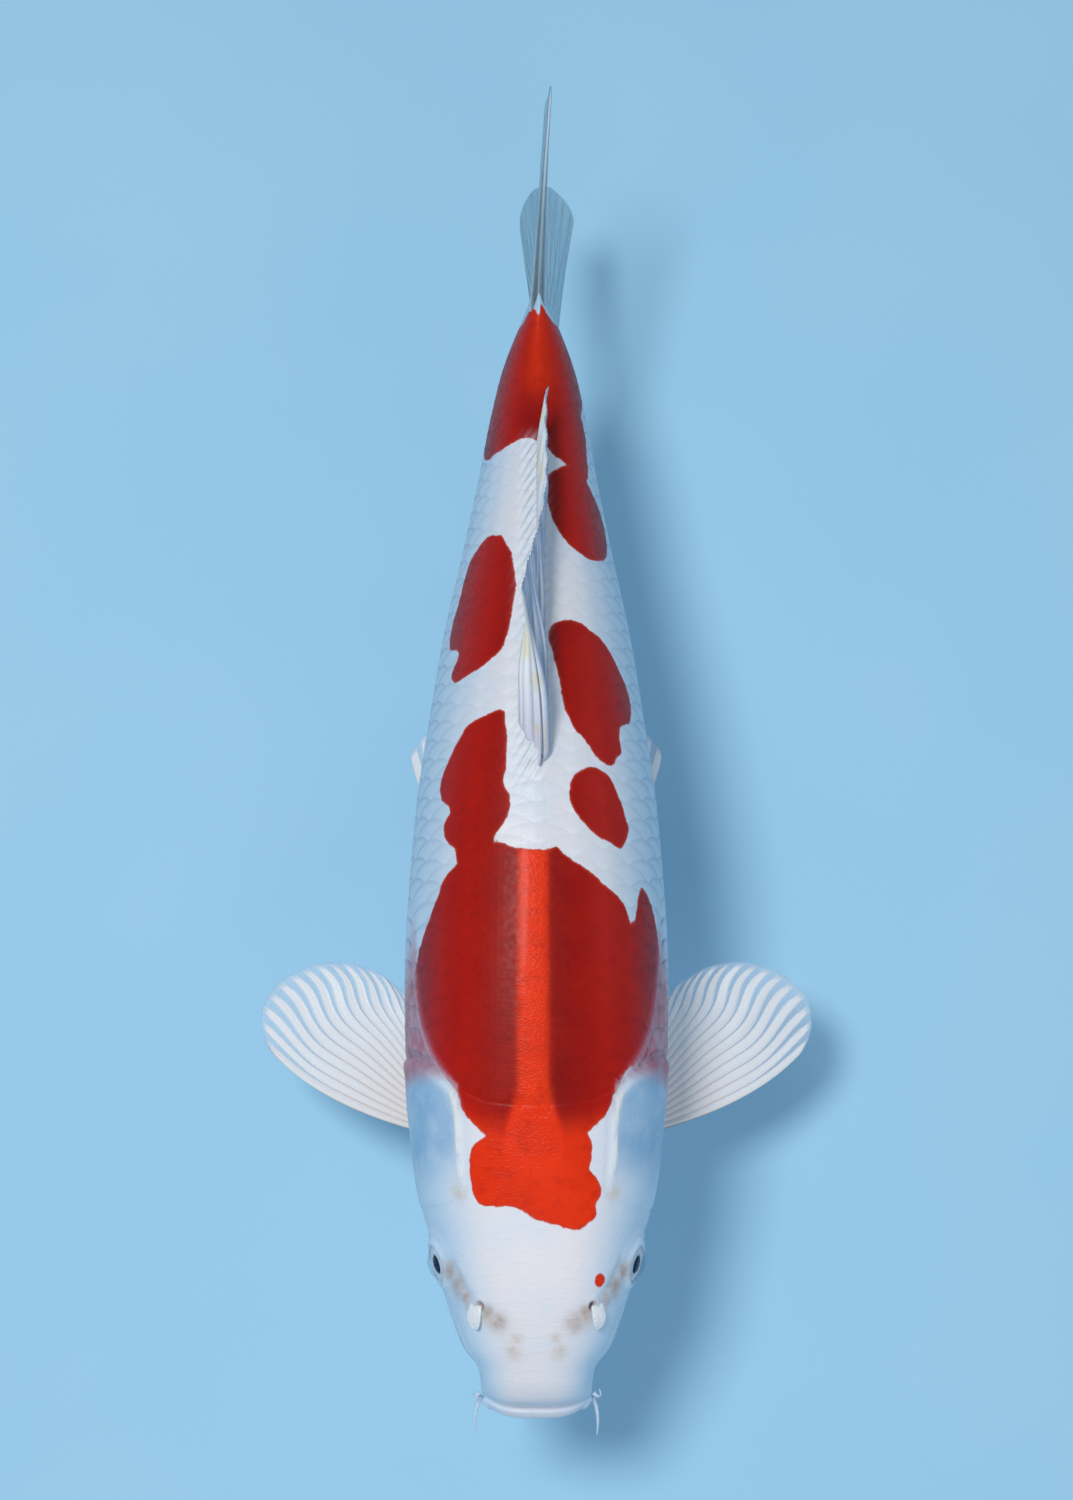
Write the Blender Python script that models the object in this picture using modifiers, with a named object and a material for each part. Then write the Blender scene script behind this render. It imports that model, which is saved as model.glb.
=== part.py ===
"""A life-size Kohaku koi carp, held still on a plain display stand.

Metres, +Z up. The fish lies along Y with its snout toward -Y, and its left side is at +X.
The origin is the middle of the stand's underside. Tables and outlines are in millimetres in
the fish's own frame: "along" counts back from the snout tip, z up from the body's axis.
"""
import math

import bmesh
import bpy
from mathutils import Vector

MM = 0.001
GAP = 0.3                    # clearance between neighbouring pieces, mm

# Driving sizes, mm
TOTAL_LENGTH = 650.0
AXIS_HEIGHT = 155.0          # body axis above the floor
SNOUT_Y = -255.0             # snout tip in front of the stand's middle
SWAY_START = 250.0           # the spine bends gently to the left behind this station
SWAY_AT_TIP = 2.2
TWIST_START = 500.0          # behind this the lower half of the tail turns to the left
TWIST_END = 560.0
TWIST = 0.2

SIDES = 32                   # points round the body
RING_STEPS = 2               # rings made for each row of the table behind the muzzle
WIDEST_LEVEL = 0.45          # share of the depth, from the belly, where the body is widest
SWEEP_POWER = 3.0            # keeps the front of the mouth broad
CHIN_SETBACK = 2.5           # the lower lip sits this far behind the upper one
CHIN_END = 45.0

# Along, half-width, back, belly, squareness, sweep of the sides toward the tail
BODY_RINGS = [
    (1.6, 18.0, -16.6, -18.2, 2.2, 5.0),       # mouth slit
    (0.5, 20.0, -15.0, -19.8, 2.2, 5.0),
    (-0.6, 22.5, -12.0, -22.5, 2.3, 5.5),      # front of the lips
    (1.5, 25.0, -8.5, -26.0, 2.3, 6.5),
    (4.2, 25.3, -7.0, -27.0, 2.3, 6.5),        # crease behind the lips
    (6.5, 26.2, 5.0, -28.5, 2.3, 6.5),
    (12.0, 27.0, 14.0, -31.0, 2.4, 5.5),
    (20.0, 28.5, 21.0, -33.5, 2.5, 4.0),
    (30.0, 35.0, 28.5, -36.5, 2.5, 2.5),
    (45.0, 40.3, 38.0, -41.5, 2.5, 1.0),
    (60.0, 44.8, 45.3, -46.5, 2.5, 0.0),       # nostrils and eyes
    (80.0, 49.6, 52.0, -52.0, 2.5, 0.0),
    (105.0, 57.2, 60.0, -59.0, 2.4, 0.0),
    (140.0, 61.6, 70.0, -66.0, 2.3, 0.0),      # nape
    (180.0, 63.8, 78.5, -71.5, 2.25, 0.0),
    (220.0, 64.2, 83.5, -74.8, 2.2, 0.0),
    (260.0, 62.1, 86.5, -76.0, 2.2, 0.0),
    (300.0, 58.7, 85.5, -74.5, 2.2, 0.0),      # front of the dorsal fin
    (340.0, 53.2, 80.5, -70.5, 2.15, 0.0),
    (380.0, 47.2, 71.5, -63.5, 2.1, 0.0),
    (420.0, 39.0, 61.0, -54.0, 2.1, 0.0),
    (460.0, 31.3, 49.5, -44.0, 2.05, 0.0),
    (500.0, 24.5, 39.0, -36.5, 2.0, 0.0),
    (530.0, 17.5, 34.0, -33.0, 2.0, 0.0),
    (560.0, 5.8, 36.0, -35.5, 2.0, 0.0),       # root of the tail fin
]
FIRST_BODY_ROW = 6           # from here on the rings lie one behind the other

# Cuts between the pieces, seen from the side: (along, z)
HEAD_REAR_EDGE = [(134.0, 90.0), (134.0, 72.0), (141.0, 52.0), (154.0, 36.0), (165.0, 15.0),
                  (168.0, -6.0), (160.0, -23.0), (143.0, -36.0), (124.0, -48.0), (108.0, -60.0),
                  (96.0, -90.0)]
GILL_COVER_EDGE = [(176.0, 44.0), (150.0, 43.0), (128.0, 41.0), (110.0, 30.0), (102.0, 10.0),
                   (100.0, -12.0), (105.0, -30.0), (118.0, -41.0), (136.0, -44.0), (176.0, -44.0)]
GILL_COVER_INSIDE = 36.0     # the covers are this far out from the middle
JAW_EDGE = [(-8.0, -19.0), (14.0, -19.0), (24.0, -22.0), (38.0, -29.0), (54.0, -41.0),
            (62.0, -70.0), (-8.0, -70.0)]
LIPS_END = 3.9               # row number at the crease behind the lips
HEAD_START = 4.03            # a clearance further back

TRUNK_SPLIT = 340.0
STALK_SPLIT = 470.0

# Eyes
EYE_ALONG = 71.0
EYE_OUT = 41.0
EYE_Z = 13.0
EYE_RADIUS = 10.8
BROW_HEIGHT = 2.6            # the skin swells round the eyes
BROW_REACH = 13.0

# Stand
BASE_WIDTH = 108.0
BASE_LENGTH = 270.0
BASE_THICKNESS = 14.0
BASE_BEVEL = 3.0
ROD_RADIUS = 5.0
ROD_STATIONS = {"stand_rod_front": 165.0, "stand_rod_rear": 350.0}
ROD_IN_BODY = 9.0
ROD_IN_BASE = 6.0


# ---------------------------------------------------------------- body shape

def catmull(rows, u):
    """Read a table of rows at the row number u, smoothly."""
    last = len(rows) - 1
    k = min(int(u), last - 1)
    t = u - k
    a, b = rows[max(k - 1, 0)], rows[k]
    c, d = rows[k + 1], rows[min(k + 2, last)]
    return [0.5 * (2 * q + (r - p) * t + (2 * p - 5 * q + 4 * r - s) * t * t
                   + (3 * q - p - 3 * r + s) * t ** 3)
            for p, q, r, s in zip(a, b, c, d)]


def row_at(along):
    """The row number whose ring lies at this station."""
    low, high = float(FIRST_BODY_ROW), len(BODY_RINGS) - 1.0
    for _ in range(40):
        middle = (low + high) / 2
        if catmull(BODY_RINGS, middle)[0] < along:
            low = middle
        else:
            high = middle
    return low


def sway(along):
    """How far the spine has bent sideways at a station."""
    behind = max(0.0, along - SWAY_START)
    return SWAY_AT_TIP * (behind / (TOTAL_LENGTH - SWAY_START)) ** 2


def twist(along, z):
    """How far the lower half of the tail has turned sideways."""
    share = min(1.0, max(0.0, along - TWIST_START) / (TWIST_END - TWIST_START))
    return TWIST * share * share * max(0.0, -z)


def body_point(u, turn, grow=0.0):
    """A point of the skin: u is the row number, turn 0 is the left flank and pi/2 the back."""
    along, half, back, belly, square, sweep = catmull(BODY_RINGS, u)
    half, back, belly = half + grow, back + grow, belly - grow
    side, up = math.cos(turn), math.sin(turn)
    level = belly + WIDEST_LEVEL * (back - belly)
    x = half * math.copysign(abs(side) ** (2 / square), side)
    height = back - level if up > 0 else level - belly
    z = level + height * math.copysign(abs(up) ** (2 / square), up)
    y = along + sweep * abs(side) ** SWEEP_POWER
    y += CHIN_SETBACK * max(0.0, -up) * max(0.0, 1 - along / CHIN_END)
    reach = math.hypot(y - EYE_ALONG, z - EYE_Z) / BROW_REACH
    x += math.copysign(BROW_HEIGHT * math.exp(-reach ** 4) * min(1.0, abs(x) / EYE_OUT), x)
    return Vector((x + sway(y) + twist(y, z), y, z))


def surface_z(along, up=True):
    """Height of the back, or of the belly, at a station."""
    row = catmull(BODY_RINGS, row_at(along))
    return row[2] if up else row[3]


# ---------------------------------------------------------------- making objects

def material(name, colour, roughness, metallic=0.0):
    finish = bpy.data.materials.new(name)
    finish.use_nodes = True
    shader = finish.node_tree.nodes["Principled BSDF"]
    shader.inputs["Base Color"].default_value = (*colour, 1)
    shader.inputs["Roughness"].default_value = roughness
    shader.inputs["Metallic"].default_value = metallic
    finish.diffuse_color = (*colour, 1)
    return finish


def add(mesh_or_curve, name, collection, parent, finish=None):
    thing = bpy.data.objects.new(name, mesh_or_curve)
    collection.objects.link(thing)
    thing.parent = parent
    if finish:
        mesh_or_curve.materials.append(finish)
    return thing


def mesh_from(name, bm, smooth=True):
    """Close a bmesh into a mesh in metres, with its faces pointing out."""
    bmesh.ops.scale(bm, vec=Vector((MM, MM, MM)), verts=bm.verts)
    bmesh.ops.recalc_face_normals(bm, faces=bm.faces)
    mesh = bpy.data.meshes.new(name)
    bm.to_mesh(mesh)
    bm.free()
    if smooth:
        mesh.polygons.foreach_set("use_smooth", [True] * len(mesh.polygons))
    return mesh


def loft(name, u_from, u_to, grow=0.0):
    """The body between two row numbers, closed at both ends."""
    body_rows = len(BODY_RINGS) - 1 - FIRST_BODY_ROW
    steps = list(range(FIRST_BODY_ROW))
    steps += [FIRST_BODY_ROW + k / RING_STEPS for k in range(RING_STEPS * body_rows + 1)]
    rows = [u_from] + [u for u in steps if u_from + 0.1 < u < u_to - 0.1] + [u_to]
    bm = bmesh.new()
    rings = []
    for u in rows:
        turns = [2 * math.pi * k / SIDES for k in range(SIDES)]
        rings.append([bm.verts.new(body_point(u, turn, grow)) for turn in turns])
    for near, far in zip(rings, rings[1:]):
        for k in range(SIDES):
            n = (k + 1) % SIDES
            bm.faces.new((near[k], near[n], far[n], far[k]))
    for u, ring in ((rows[0], rings[0]), (rows[-1], rings[-1])):
        along, _, back, belly = catmull(BODY_RINGS, u)[:4]
        middle = bm.verts.new((sway(along), along, belly + WIDEST_LEVEL * (back - belly)))
        for k in range(SIDES):
            bm.faces.new((ring[k], ring[(k + 1) % SIDES], middle))
    return mesh_from(name, bm)


def grown(outline, amount):
    """Move a closed outline outward by an amount."""
    area = sum(a[0] * b[1] - b[0] * a[1] for a, b in zip(outline, outline[1:] + outline[:1]))
    outward = math.copysign(amount, area)
    result = []
    for k, (a, b) in enumerate(outline):
        before, after = outline[k - 1], outline[(k + 1) % len(outline)]
        along = Vector((after[0] - before[0], after[1] - before[1])).normalized()
        result.append((a + outward * along.y, b - outward * along.x))
    return result


def prism(name, outline, near, far, kit, grow=0.0):
    """A cutter: an outline seen from the side, drawn out sideways from near to far."""
    bm = bmesh.new()
    start = [bm.verts.new((near, along, z)) for along, z in grown(outline, grow)]
    face = bmesh.ops.contextual_create(bm, geom=start)["faces"][0]
    drawn = bmesh.ops.extrude_face_region(bm, geom=[face])["geom"]
    moved = [v for v in drawn if isinstance(v, bmesh.types.BMVert)]
    bmesh.ops.translate(bm, vec=Vector((far - near, 0, 0)), verts=moved)
    return cutter(mesh_from(name, bm, smooth=False), name, kit)


def cutter(mesh, name, kit):
    tool = add(mesh, name, kit["cutters"], kit["fish"])
    tool.hide_render = True
    tool.display_type = "WIRE"
    return tool


def cut(thing, tool, operation="DIFFERENCE"):
    modifier = thing.modifiers.new(tool.name, "BOOLEAN")
    modifier.operation = operation
    modifier.solver = "EXACT"
    modifier.object = tool


def cylinder_mesh(name, radius, low, high, along, sides=24):
    bm = bmesh.new()
    bmesh.ops.create_cone(bm, cap_ends=True, segments=sides, radius1=radius, radius2=radius,
                          depth=high - low)
    bmesh.ops.translate(bm, vec=Vector((0, along, (low + high) / 2)), verts=bm.verts)
    return mesh_from(name, bm, smooth=False)


def ball_mesh(name, radius, centre, around=16, rings=11):
    bm = bmesh.new()
    bmesh.ops.create_uvsphere(bm, u_segments=around, v_segments=rings, radius=radius)
    bmesh.ops.translate(bm, vec=Vector(centre), verts=bm.verts)
    return mesh_from(name, bm)


# ---------------------------------------------------------------- head and trunk

def smooth_path(points, steps=3):
    """More points on a smooth curve through a path's own points."""
    count = (len(points) - 1) * steps
    return [tuple(catmull(points, k / steps)) for k in range(count + 1)]


def head_outline():
    """The head's side view: everything ahead of its rear edge."""
    return smooth_path(HEAD_REAR_EDGE) + [(-20.0, -90.0), (-20.0, 90.0)]


def make_cutters(kit):
    body = loft("cut_body", HEAD_START, len(BODY_RINGS) - 1.0, GAP)
    kit["body"] = cutter(body, "cut_body", kit)
    wide = 90.0
    gill = smooth_path(GILL_COVER_EDGE)
    kit["head_region"] = prism("cut_head", head_outline(), -wide, wide, kit)
    kit["trunk_region"] = prism("cut_trunk", head_outline(), -wide, wide, kit, GAP)
    kit["jaw"] = prism("cut_jaw", JAW_EDGE, -wide, wide, kit)
    kit["jaw_room"] = prism("cut_jaw_room", JAW_EDGE, -wide, wide, kit, GAP)
    for side, sign in (("left", 1), ("right", -1)):
        near, far = sign * GILL_COVER_INSIDE, sign * wide
        kit["gill_" + side] = prism("cut_gill_" + side, gill, near, far, kit)
        near = sign * (GILL_COVER_INSIDE - GAP)
        kit["gill_room_" + side] = prism("cut_gill_room_" + side, gill, near, far, kit, GAP)
        centre = (sign * EYE_OUT, EYE_ALONG, EYE_Z)
        socket = ball_mesh("cut_socket_" + side, EYE_RADIUS + GAP, centre)
        kit["socket_" + side] = cutter(socket, "cut_socket_" + side, kit)


def make_head(kit):
    white = material("skin_white", (0.82, 0.85, 0.90), 0.35)
    body = loft("head", HEAD_START, row_at(186.0))
    head = add(body, "head", kit["parts"], kit["fish"], white)
    cut(head, kit["head_region"], "INTERSECT")
    for tool in ("jaw_room", "gill_room_left", "gill_room_right", "socket_left", "socket_right"):
        cut(head, kit[tool])


def make_mouth(kit):
    pink = material("lip_skin", (0.86, 0.82, 0.84), 0.35)
    add(loft("lips", 0.0, LIPS_END), "lips", kit["parts"], kit["fish"], pink)
    pale = material("jaw_skin", (0.84, 0.84, 0.87), 0.35)
    chin = loft("lower_jaw", HEAD_START, row_at(72.0))
    jaw = add(chin, "lower_jaw", kit["parts"], kit["fish"], pale)
    cut(jaw, kit["jaw"], "INTERSECT")


def make_gill_covers(kit):
    for side in ("left", "right"):
        pearl = material("gill_pearl_" + side, (0.74, 0.82, 0.92), 0.3)
        name = "gill_cover_" + side
        cover = add(loft(name, row_at(80.0), row_at(186.0)), name, kit["parts"], kit["fish"], pearl)
        cut(cover, kit["head_region"], "INTERSECT")
        cut(cover, kit["gill_" + side], "INTERSECT")


def make_eyes(kit):
    for side, sign in (("left", 1), ("right", -1)):
        dark = material("eye_" + side, (0.05, 0.08, 0.15), 0.08)
        centre = (sign * EYE_OUT, EYE_ALONG, EYE_Z)
        name = "eye_" + side
        add(ball_mesh(name, EYE_RADIUS, centre), name, kit["parts"], kit["fish"], dark)


def make_trunk(kit):
    red = material("skin_red", (0.62, 0.03, 0.01), 0.35)
    front = add(loft("trunk_front", row_at(92.0), row_at(TRUNK_SPLIT)), "trunk_front",
                kit["parts"], kit["fish"], red)
    cut(front, kit["trunk_region"])
    patched = material("skin_patched", (0.80, 0.72, 0.74), 0.35)
    rear = add(loft("trunk_rear", row_at(TRUNK_SPLIT + GAP), row_at(STALK_SPLIT)), "trunk_rear",
               kit["parts"], kit["fish"], patched)
    stalk_red = material("skin_tail_red", (0.58, 0.04, 0.01), 0.35)
    add(loft("tail_stalk", row_at(STALK_SPLIT + GAP), len(BODY_RINGS) - 1.0), "tail_stalk",
        kit["parts"], kit["fish"], stalk_red)
    for trunk, rod in ((front, "stand_rod_front"), (rear, "stand_rod_rear")):
        station = ROD_STATIONS[rod]
        top = surface_z(station, up=False) + ROD_IN_BODY + GAP
        hole = cylinder_mesh("cut_" + rod, ROD_RADIUS + GAP, top - 40.0, top, station)
        cut(trunk, cutter(hole, "cut_" + rod, kit))


# ---------------------------------------------------------------- barbels

BARBELS = {
    # name: (root radius, tip radius, points of the left one: x, along, z)
    "barbel_lower": (1.1, 0.45, [(26.4, 9.5, -22.5), (28.6, 5.0, -25.0), (29.4, -1.5, -29.0),
                                 (29.0, -8.0, -34.5)]),
    "barbel_upper": (0.8, 0.4, [(26.9, 11.0, -8.0), (29.0, 9.4, -8.5), (30.4, 10.4, -11.0),
                                (29.8, 13.2, -13.0)]),
}


def make_barbels(kit):
    for base, (thick, thin, points) in BARBELS.items():
        for side, sign in (("left", 1), ("right", -1)):
            pale = material("{}_{}_skin".format(base, side), (0.85, 0.84, 0.88), 0.4)
            name = "{}_{}".format(base, side)
            curve = bpy.data.curves.new(name, "CURVE")
            curve.dimensions = "3D"
            curve.bevel_depth = thick * MM
            curve.bevel_resolution = 2
            curve.use_fill_caps = True
            path = smooth_path(points, 2)
            spline = curve.splines.new("POLY")
            spline.points.add(len(path) - 1)
            for k, (x, along, z) in enumerate(path):
                spline.points[k].co = (sign * x * MM, along * MM, z * MM, 1)
                share = k / (len(path) - 1)
                spline.points[k].radius = 1 + (thin / thick - 1) * share
            add(curve, name, kit["parts"], kit["fish"], pale)


# ---------------------------------------------------------------- fins

def bow(start, handle, end, t):
    """A ray's curve from its root to its tip, drawn toward a handle."""
    return start * (1 - t) ** 2 + handle * (2 * t * (1 - t)) + end * t * t


def fin(kit, name, ray, rays, steps, root_thick, tip_thick, finish):
    """A fin as an open fan of rays, thick at its root and thin at its margin.

    The rays start inside the body, and the fin is trimmed to stand clear of the skin.
    """
    bm = bmesh.new()
    grid = []
    for j in range(rays + 1):
        start, handle, end = ray(j / rays)
        points = [bow(start, handle, end, k / steps) for k in range(steps + 1)]
        grid.append([bm.verts.new(point) for point in points])
    for near, far in zip(grid, grid[1:]):
        for k in range(steps):
            bm.faces.new((near[k], near[k + 1], far[k + 1], far[k]))
    blade = add(mesh_from(name, bm), name, kit["parts"], kit["fish"], finish)
    weights = blade.vertex_groups.new(name="thickness")
    for index in range(len(blade.data.vertices)):
        share = (index % (steps + 1)) / steps
        weights.add([index], (1 - share) ** 1.5, "REPLACE")
    solid = blade.modifiers.new("thickness", "SOLIDIFY")
    solid.thickness = root_thick * MM
    solid.offset = 0
    solid.vertex_group = weights.name
    solid.thickness_vertex_group = tip_thick / root_thick
    cut(blade, kit["body"])


def fin_skin(name):
    return material(name + "_skin", (0.80, 0.86, 0.94), 0.3)


FIN_DEPTH = 3.0              # the median fins' rays start this far inside the body
TAIL_FORK = 609.0            # station of the notch between the tail's lobes
UPPER_LOBE = 46.0            # how far each lobe reaches behind the notch
LOWER_LOBE = 50.0

# The fins of a pair lie in a plane that droops outward from a hub under the skin. Their rays
# end round the hub: first and last are the rays' angles from straight out toward the tail,
# lead the angles at which they leave the root, and the reach shrinks toward both edges.
PAIRED_FINS = {
    "pectoral_fin": dict(hub=(58.0, 148.0, -38.0), root_front=(50.5, 136.5, -39.5),
                         root_rear=(48.5, 163.0, -44.0), droop=22.0, reach=107.5, first=23.0,
                         last=82.0, front_loss=16.0, rear_loss=49.0, lead=(14.0, 76.0),
                         rays=12, steps=6, thick=7.0, thin=0.8),
    "pelvic_fin": dict(hub=(18.0, 278.0, -70.0), root_front=(20.0, 270.0, -67.0),
                       root_rear=(15.0, 285.0, -68.5), droop=30.0, reach=93.0, first=51.0,
                       last=92.0, front_loss=3.0, rear_loss=41.0, lead=(38.0, 88.0),
                       rays=8, steps=6, thick=4.0, thin=0.7),
}
FULL_REACH_AT = 0.24         # the longest ray, as a share of the fan from its front edge


def paired_ray(shape, sign, j):
    """The ray at share j of the fan, of the left (1) or right (-1) fin of a pair."""
    droop = math.radians(shape["droop"])

    def in_plane(length, degrees):
        out = length * math.cos(math.radians(degrees))
        back = length * math.sin(math.radians(degrees))
        return Vector((out * math.cos(droop), back, -out * math.sin(droop)))

    length = shape["reach"]
    length -= shape["front_loss"] * max(0.0, 1 - j / FULL_REACH_AT) ** 2
    length -= shape["rear_loss"] * max(0.0, (j - FULL_REACH_AT) / (1 - FULL_REACH_AT)) ** 1.6
    angle = shape["first"] + (shape["last"] - shape["first"]) * j
    lead = shape["lead"][0] + (shape["lead"][1] - shape["lead"][0]) * j
    start = Vector(shape["root_front"]).lerp(Vector(shape["root_rear"]), j)
    tip = Vector(shape["hub"]) + in_plane(length, angle)
    handle = start + in_plane((0.62 - 0.1 * j) * (tip - start).length, lead)
    return [Vector((sign * p.x, p.y, p.z)) for p in (start, handle, tip)]


def make_paired_fins(kit):
    for base, shape in PAIRED_FINS.items():
        for side, sign in (("left", 1), ("right", -1)):
            def ray(j):
                return paired_ray(shape, sign, j)

            name = "{}_{}".format(base, side)
            fin(kit, name, ray, shape["rays"], shape["steps"], shape["thick"], shape["thin"],
                fin_skin(name))


def make_dorsal(kit):
    """Half folded: the front rays lie back and the rear of the blade leans to the left."""
    def ray(j):
        base = 286.0 + 179.0 * j
        start = Vector((sway(base), base, surface_z(base) - FIN_DEPTH))
        top = Vector((-6.5, 366.0, 127.0)).lerp(Vector((5.5, 493.0, 63.0)), j)
        top.x += 5.0 * math.sin(math.pi * j) ** 2
        top.z -= 9.0 * math.sin(math.pi * j)
        handle = start.lerp(top, 0.5) + Vector((0.0, -6.0 * (1 - j), 5.0))
        return start, handle, top

    fin(kit, "dorsal_fin", ray, 18, 5, 7.0, 0.9, fin_skin("dorsal_fin"))


def make_anal(kit):
    def ray(j):
        base = 418.0 + 42.0 * j
        start = Vector((sway(base), base, surface_z(base, up=False) + FIN_DEPTH))
        tip = Vector((3.0, 472.0 + 24.0 * j - 7.0 * j * j, -112.0 + 48.0 * j))
        tip += Vector((0.0, -9.0, 2.0)) * max(0.0, 1 - 5 * j) ** 2
        handle = start.lerp(tip, 0.5) + Vector((0.0, -5.0, -5.0))
        return start, handle, tip

    fin(kit, "anal_fin", ray, 9, 5, 5.0, 0.7, fin_skin("anal_fin"))


def make_tail_fin(kit):
    """Two lobes: the upper one stands on edge and the lower one is twisted to the left."""
    root = BODY_RINGS[-1][0] + 2 * GAP

    def margin(j, length):
        return TAIL_FORK + length * (1 - (1 - j) ** 2.4) - 6.0 * j ** 8

    def upper(j):
        start = Vector((sway(root) - 0.9, root, 1.2 + 33.8 * j))
        tip = Vector((2.8 + 5.0 * j * j, margin(j, UPPER_LOBE), 8.0 + 68.0 * j))
        handle = start.lerp(tip, 0.5) + Vector((-1.2, 0.0, 3.0 * j * j))
        return start, handle, tip

    def lower(j):
        depth = -1.2 - 33.3 * j
        start = Vector((sway(root) + twist(root, depth), root, depth))
        tip = Vector((-9.0 + 31.4 * j ** 1.7, margin(j, LOWER_LOBE) - 6.0 * j ** 5, -8.0 - 60.0 * j))
        handle = start.lerp(tip, 0.5) + Vector((-1.5 * (1 - j), 0.0, -3.0 * j * j))
        return start, handle, tip

    fin(kit, "tail_fin_upper", upper, 9, 7, 11.0, 0.9, fin_skin("tail_fin_upper"))
    fin(kit, "tail_fin_lower", lower, 9, 7, 11.0, 0.9, fin_skin("tail_fin_lower"))


# ---------------------------------------------------------------- display stand

def make_stand(kit):
    stone = material("stand_board", (0.80, 0.82, 0.84), 0.5)
    bm = bmesh.new()
    bmesh.ops.create_cube(bm, size=1.0)
    bmesh.ops.scale(bm, vec=Vector((BASE_WIDTH, BASE_LENGTH, BASE_THICKNESS)), verts=bm.verts)
    bmesh.ops.translate(bm, vec=Vector((0, 0, BASE_THICKNESS / 2)), verts=bm.verts)
    board = add(mesh_from("stand_base", bm, smooth=False), "stand_base", kit["parts"], None, stone)
    edge = board.modifiers.new("edge", "BEVEL")
    edge.width = BASE_BEVEL * MM
    edge.segments = 3
    for name, station in ROD_STATIONS.items():
        steel = material(name + "_steel", (0.62, 0.63, 0.65), 0.3, 1.0)
        top = surface_z(station, up=False) + ROD_IN_BODY
        foot = BASE_THICKNESS - ROD_IN_BASE - AXIS_HEIGHT
        rod = cylinder_mesh(name, ROD_RADIUS, foot + GAP, top, station)
        add(rod, name, kit["parts"], kit["fish"], steel)
        seat = cylinder_mesh("cut_seat_" + name, ROD_RADIUS + GAP, foot, foot + 40.0, station)
        cut(board, cutter(seat, "cut_seat_" + name, kit))


# ---------------------------------------------------------------- the whole model

def clear_scene():
    for thing in list(bpy.data.objects):
        bpy.data.objects.remove(thing)


def main():
    clear_scene()
    kit = {}
    for key, name in (("parts", "koi_carp"), ("cutters", "cutters")):
        kit[key] = bpy.data.collections.new(name)
        bpy.context.scene.collection.children.link(kit[key])
    kit["fish"] = bpy.data.objects.new("fish_frame", None)
    kit["fish"].location = (0, SNOUT_Y * MM, AXIS_HEIGHT * MM)
    kit["parts"].objects.link(kit["fish"])

    make_cutters(kit)
    make_head(kit)
    make_mouth(kit)
    make_gill_covers(kit)
    make_eyes(kit)
    make_barbels(kit)
    make_trunk(kit)
    make_paired_fins(kit)
    make_dorsal(kit)
    make_anal(kit)
    make_tail_fin(kit)
    make_stand(kit)


main()
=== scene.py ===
"""The koi carp's finish: one skin with its scales and markings, rayed fins, wet eyes, and the stage.

Shapes are worked out in millimetres in the fish's own frame, as in part.py: x to the fish's
left, y back from the snout tip, z up from the body's axis. A place on the skin is told by its
station y and by its turn in degrees: 0 on the back, 90 on the left flank, 180 under the belly.
"""
import math

import bpy
import numpy as np
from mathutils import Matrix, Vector

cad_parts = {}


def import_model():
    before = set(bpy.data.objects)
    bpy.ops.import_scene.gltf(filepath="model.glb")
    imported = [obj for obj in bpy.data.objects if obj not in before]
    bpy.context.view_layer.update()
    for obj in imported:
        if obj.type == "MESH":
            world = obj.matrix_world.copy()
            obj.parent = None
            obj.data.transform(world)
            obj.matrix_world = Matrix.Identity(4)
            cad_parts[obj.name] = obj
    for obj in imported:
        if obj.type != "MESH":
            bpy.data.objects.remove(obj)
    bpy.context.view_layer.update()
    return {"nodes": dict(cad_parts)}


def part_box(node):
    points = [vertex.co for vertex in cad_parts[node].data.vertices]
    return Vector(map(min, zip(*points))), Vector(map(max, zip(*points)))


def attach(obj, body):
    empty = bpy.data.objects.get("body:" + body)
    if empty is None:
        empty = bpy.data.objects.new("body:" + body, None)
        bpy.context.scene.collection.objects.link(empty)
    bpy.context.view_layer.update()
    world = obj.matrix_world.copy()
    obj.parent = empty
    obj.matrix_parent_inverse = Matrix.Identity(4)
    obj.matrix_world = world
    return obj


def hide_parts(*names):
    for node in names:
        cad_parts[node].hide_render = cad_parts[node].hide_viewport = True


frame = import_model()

MM = 0.001
BOTH_SIDES = (("left", 1), ("right", -1))

# ---- the body's sizes, as in part.py
TOTAL_LENGTH = 650
SWAY_START, SWAY_AT_TIP = 250, 2.2
TWIST_START, TWIST_END, TWIST = 500, 560, 0.2
WIDEST_LEVEL = 0.45
SWEEP_POWER = 3
CHIN_SETBACK, CHIN_END = 2.5, 45
EYE = (41, 71, 13)
EYE_RADIUS = 10.8
BROW_HEIGHT, BROW_REACH = 2.6, 13

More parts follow.
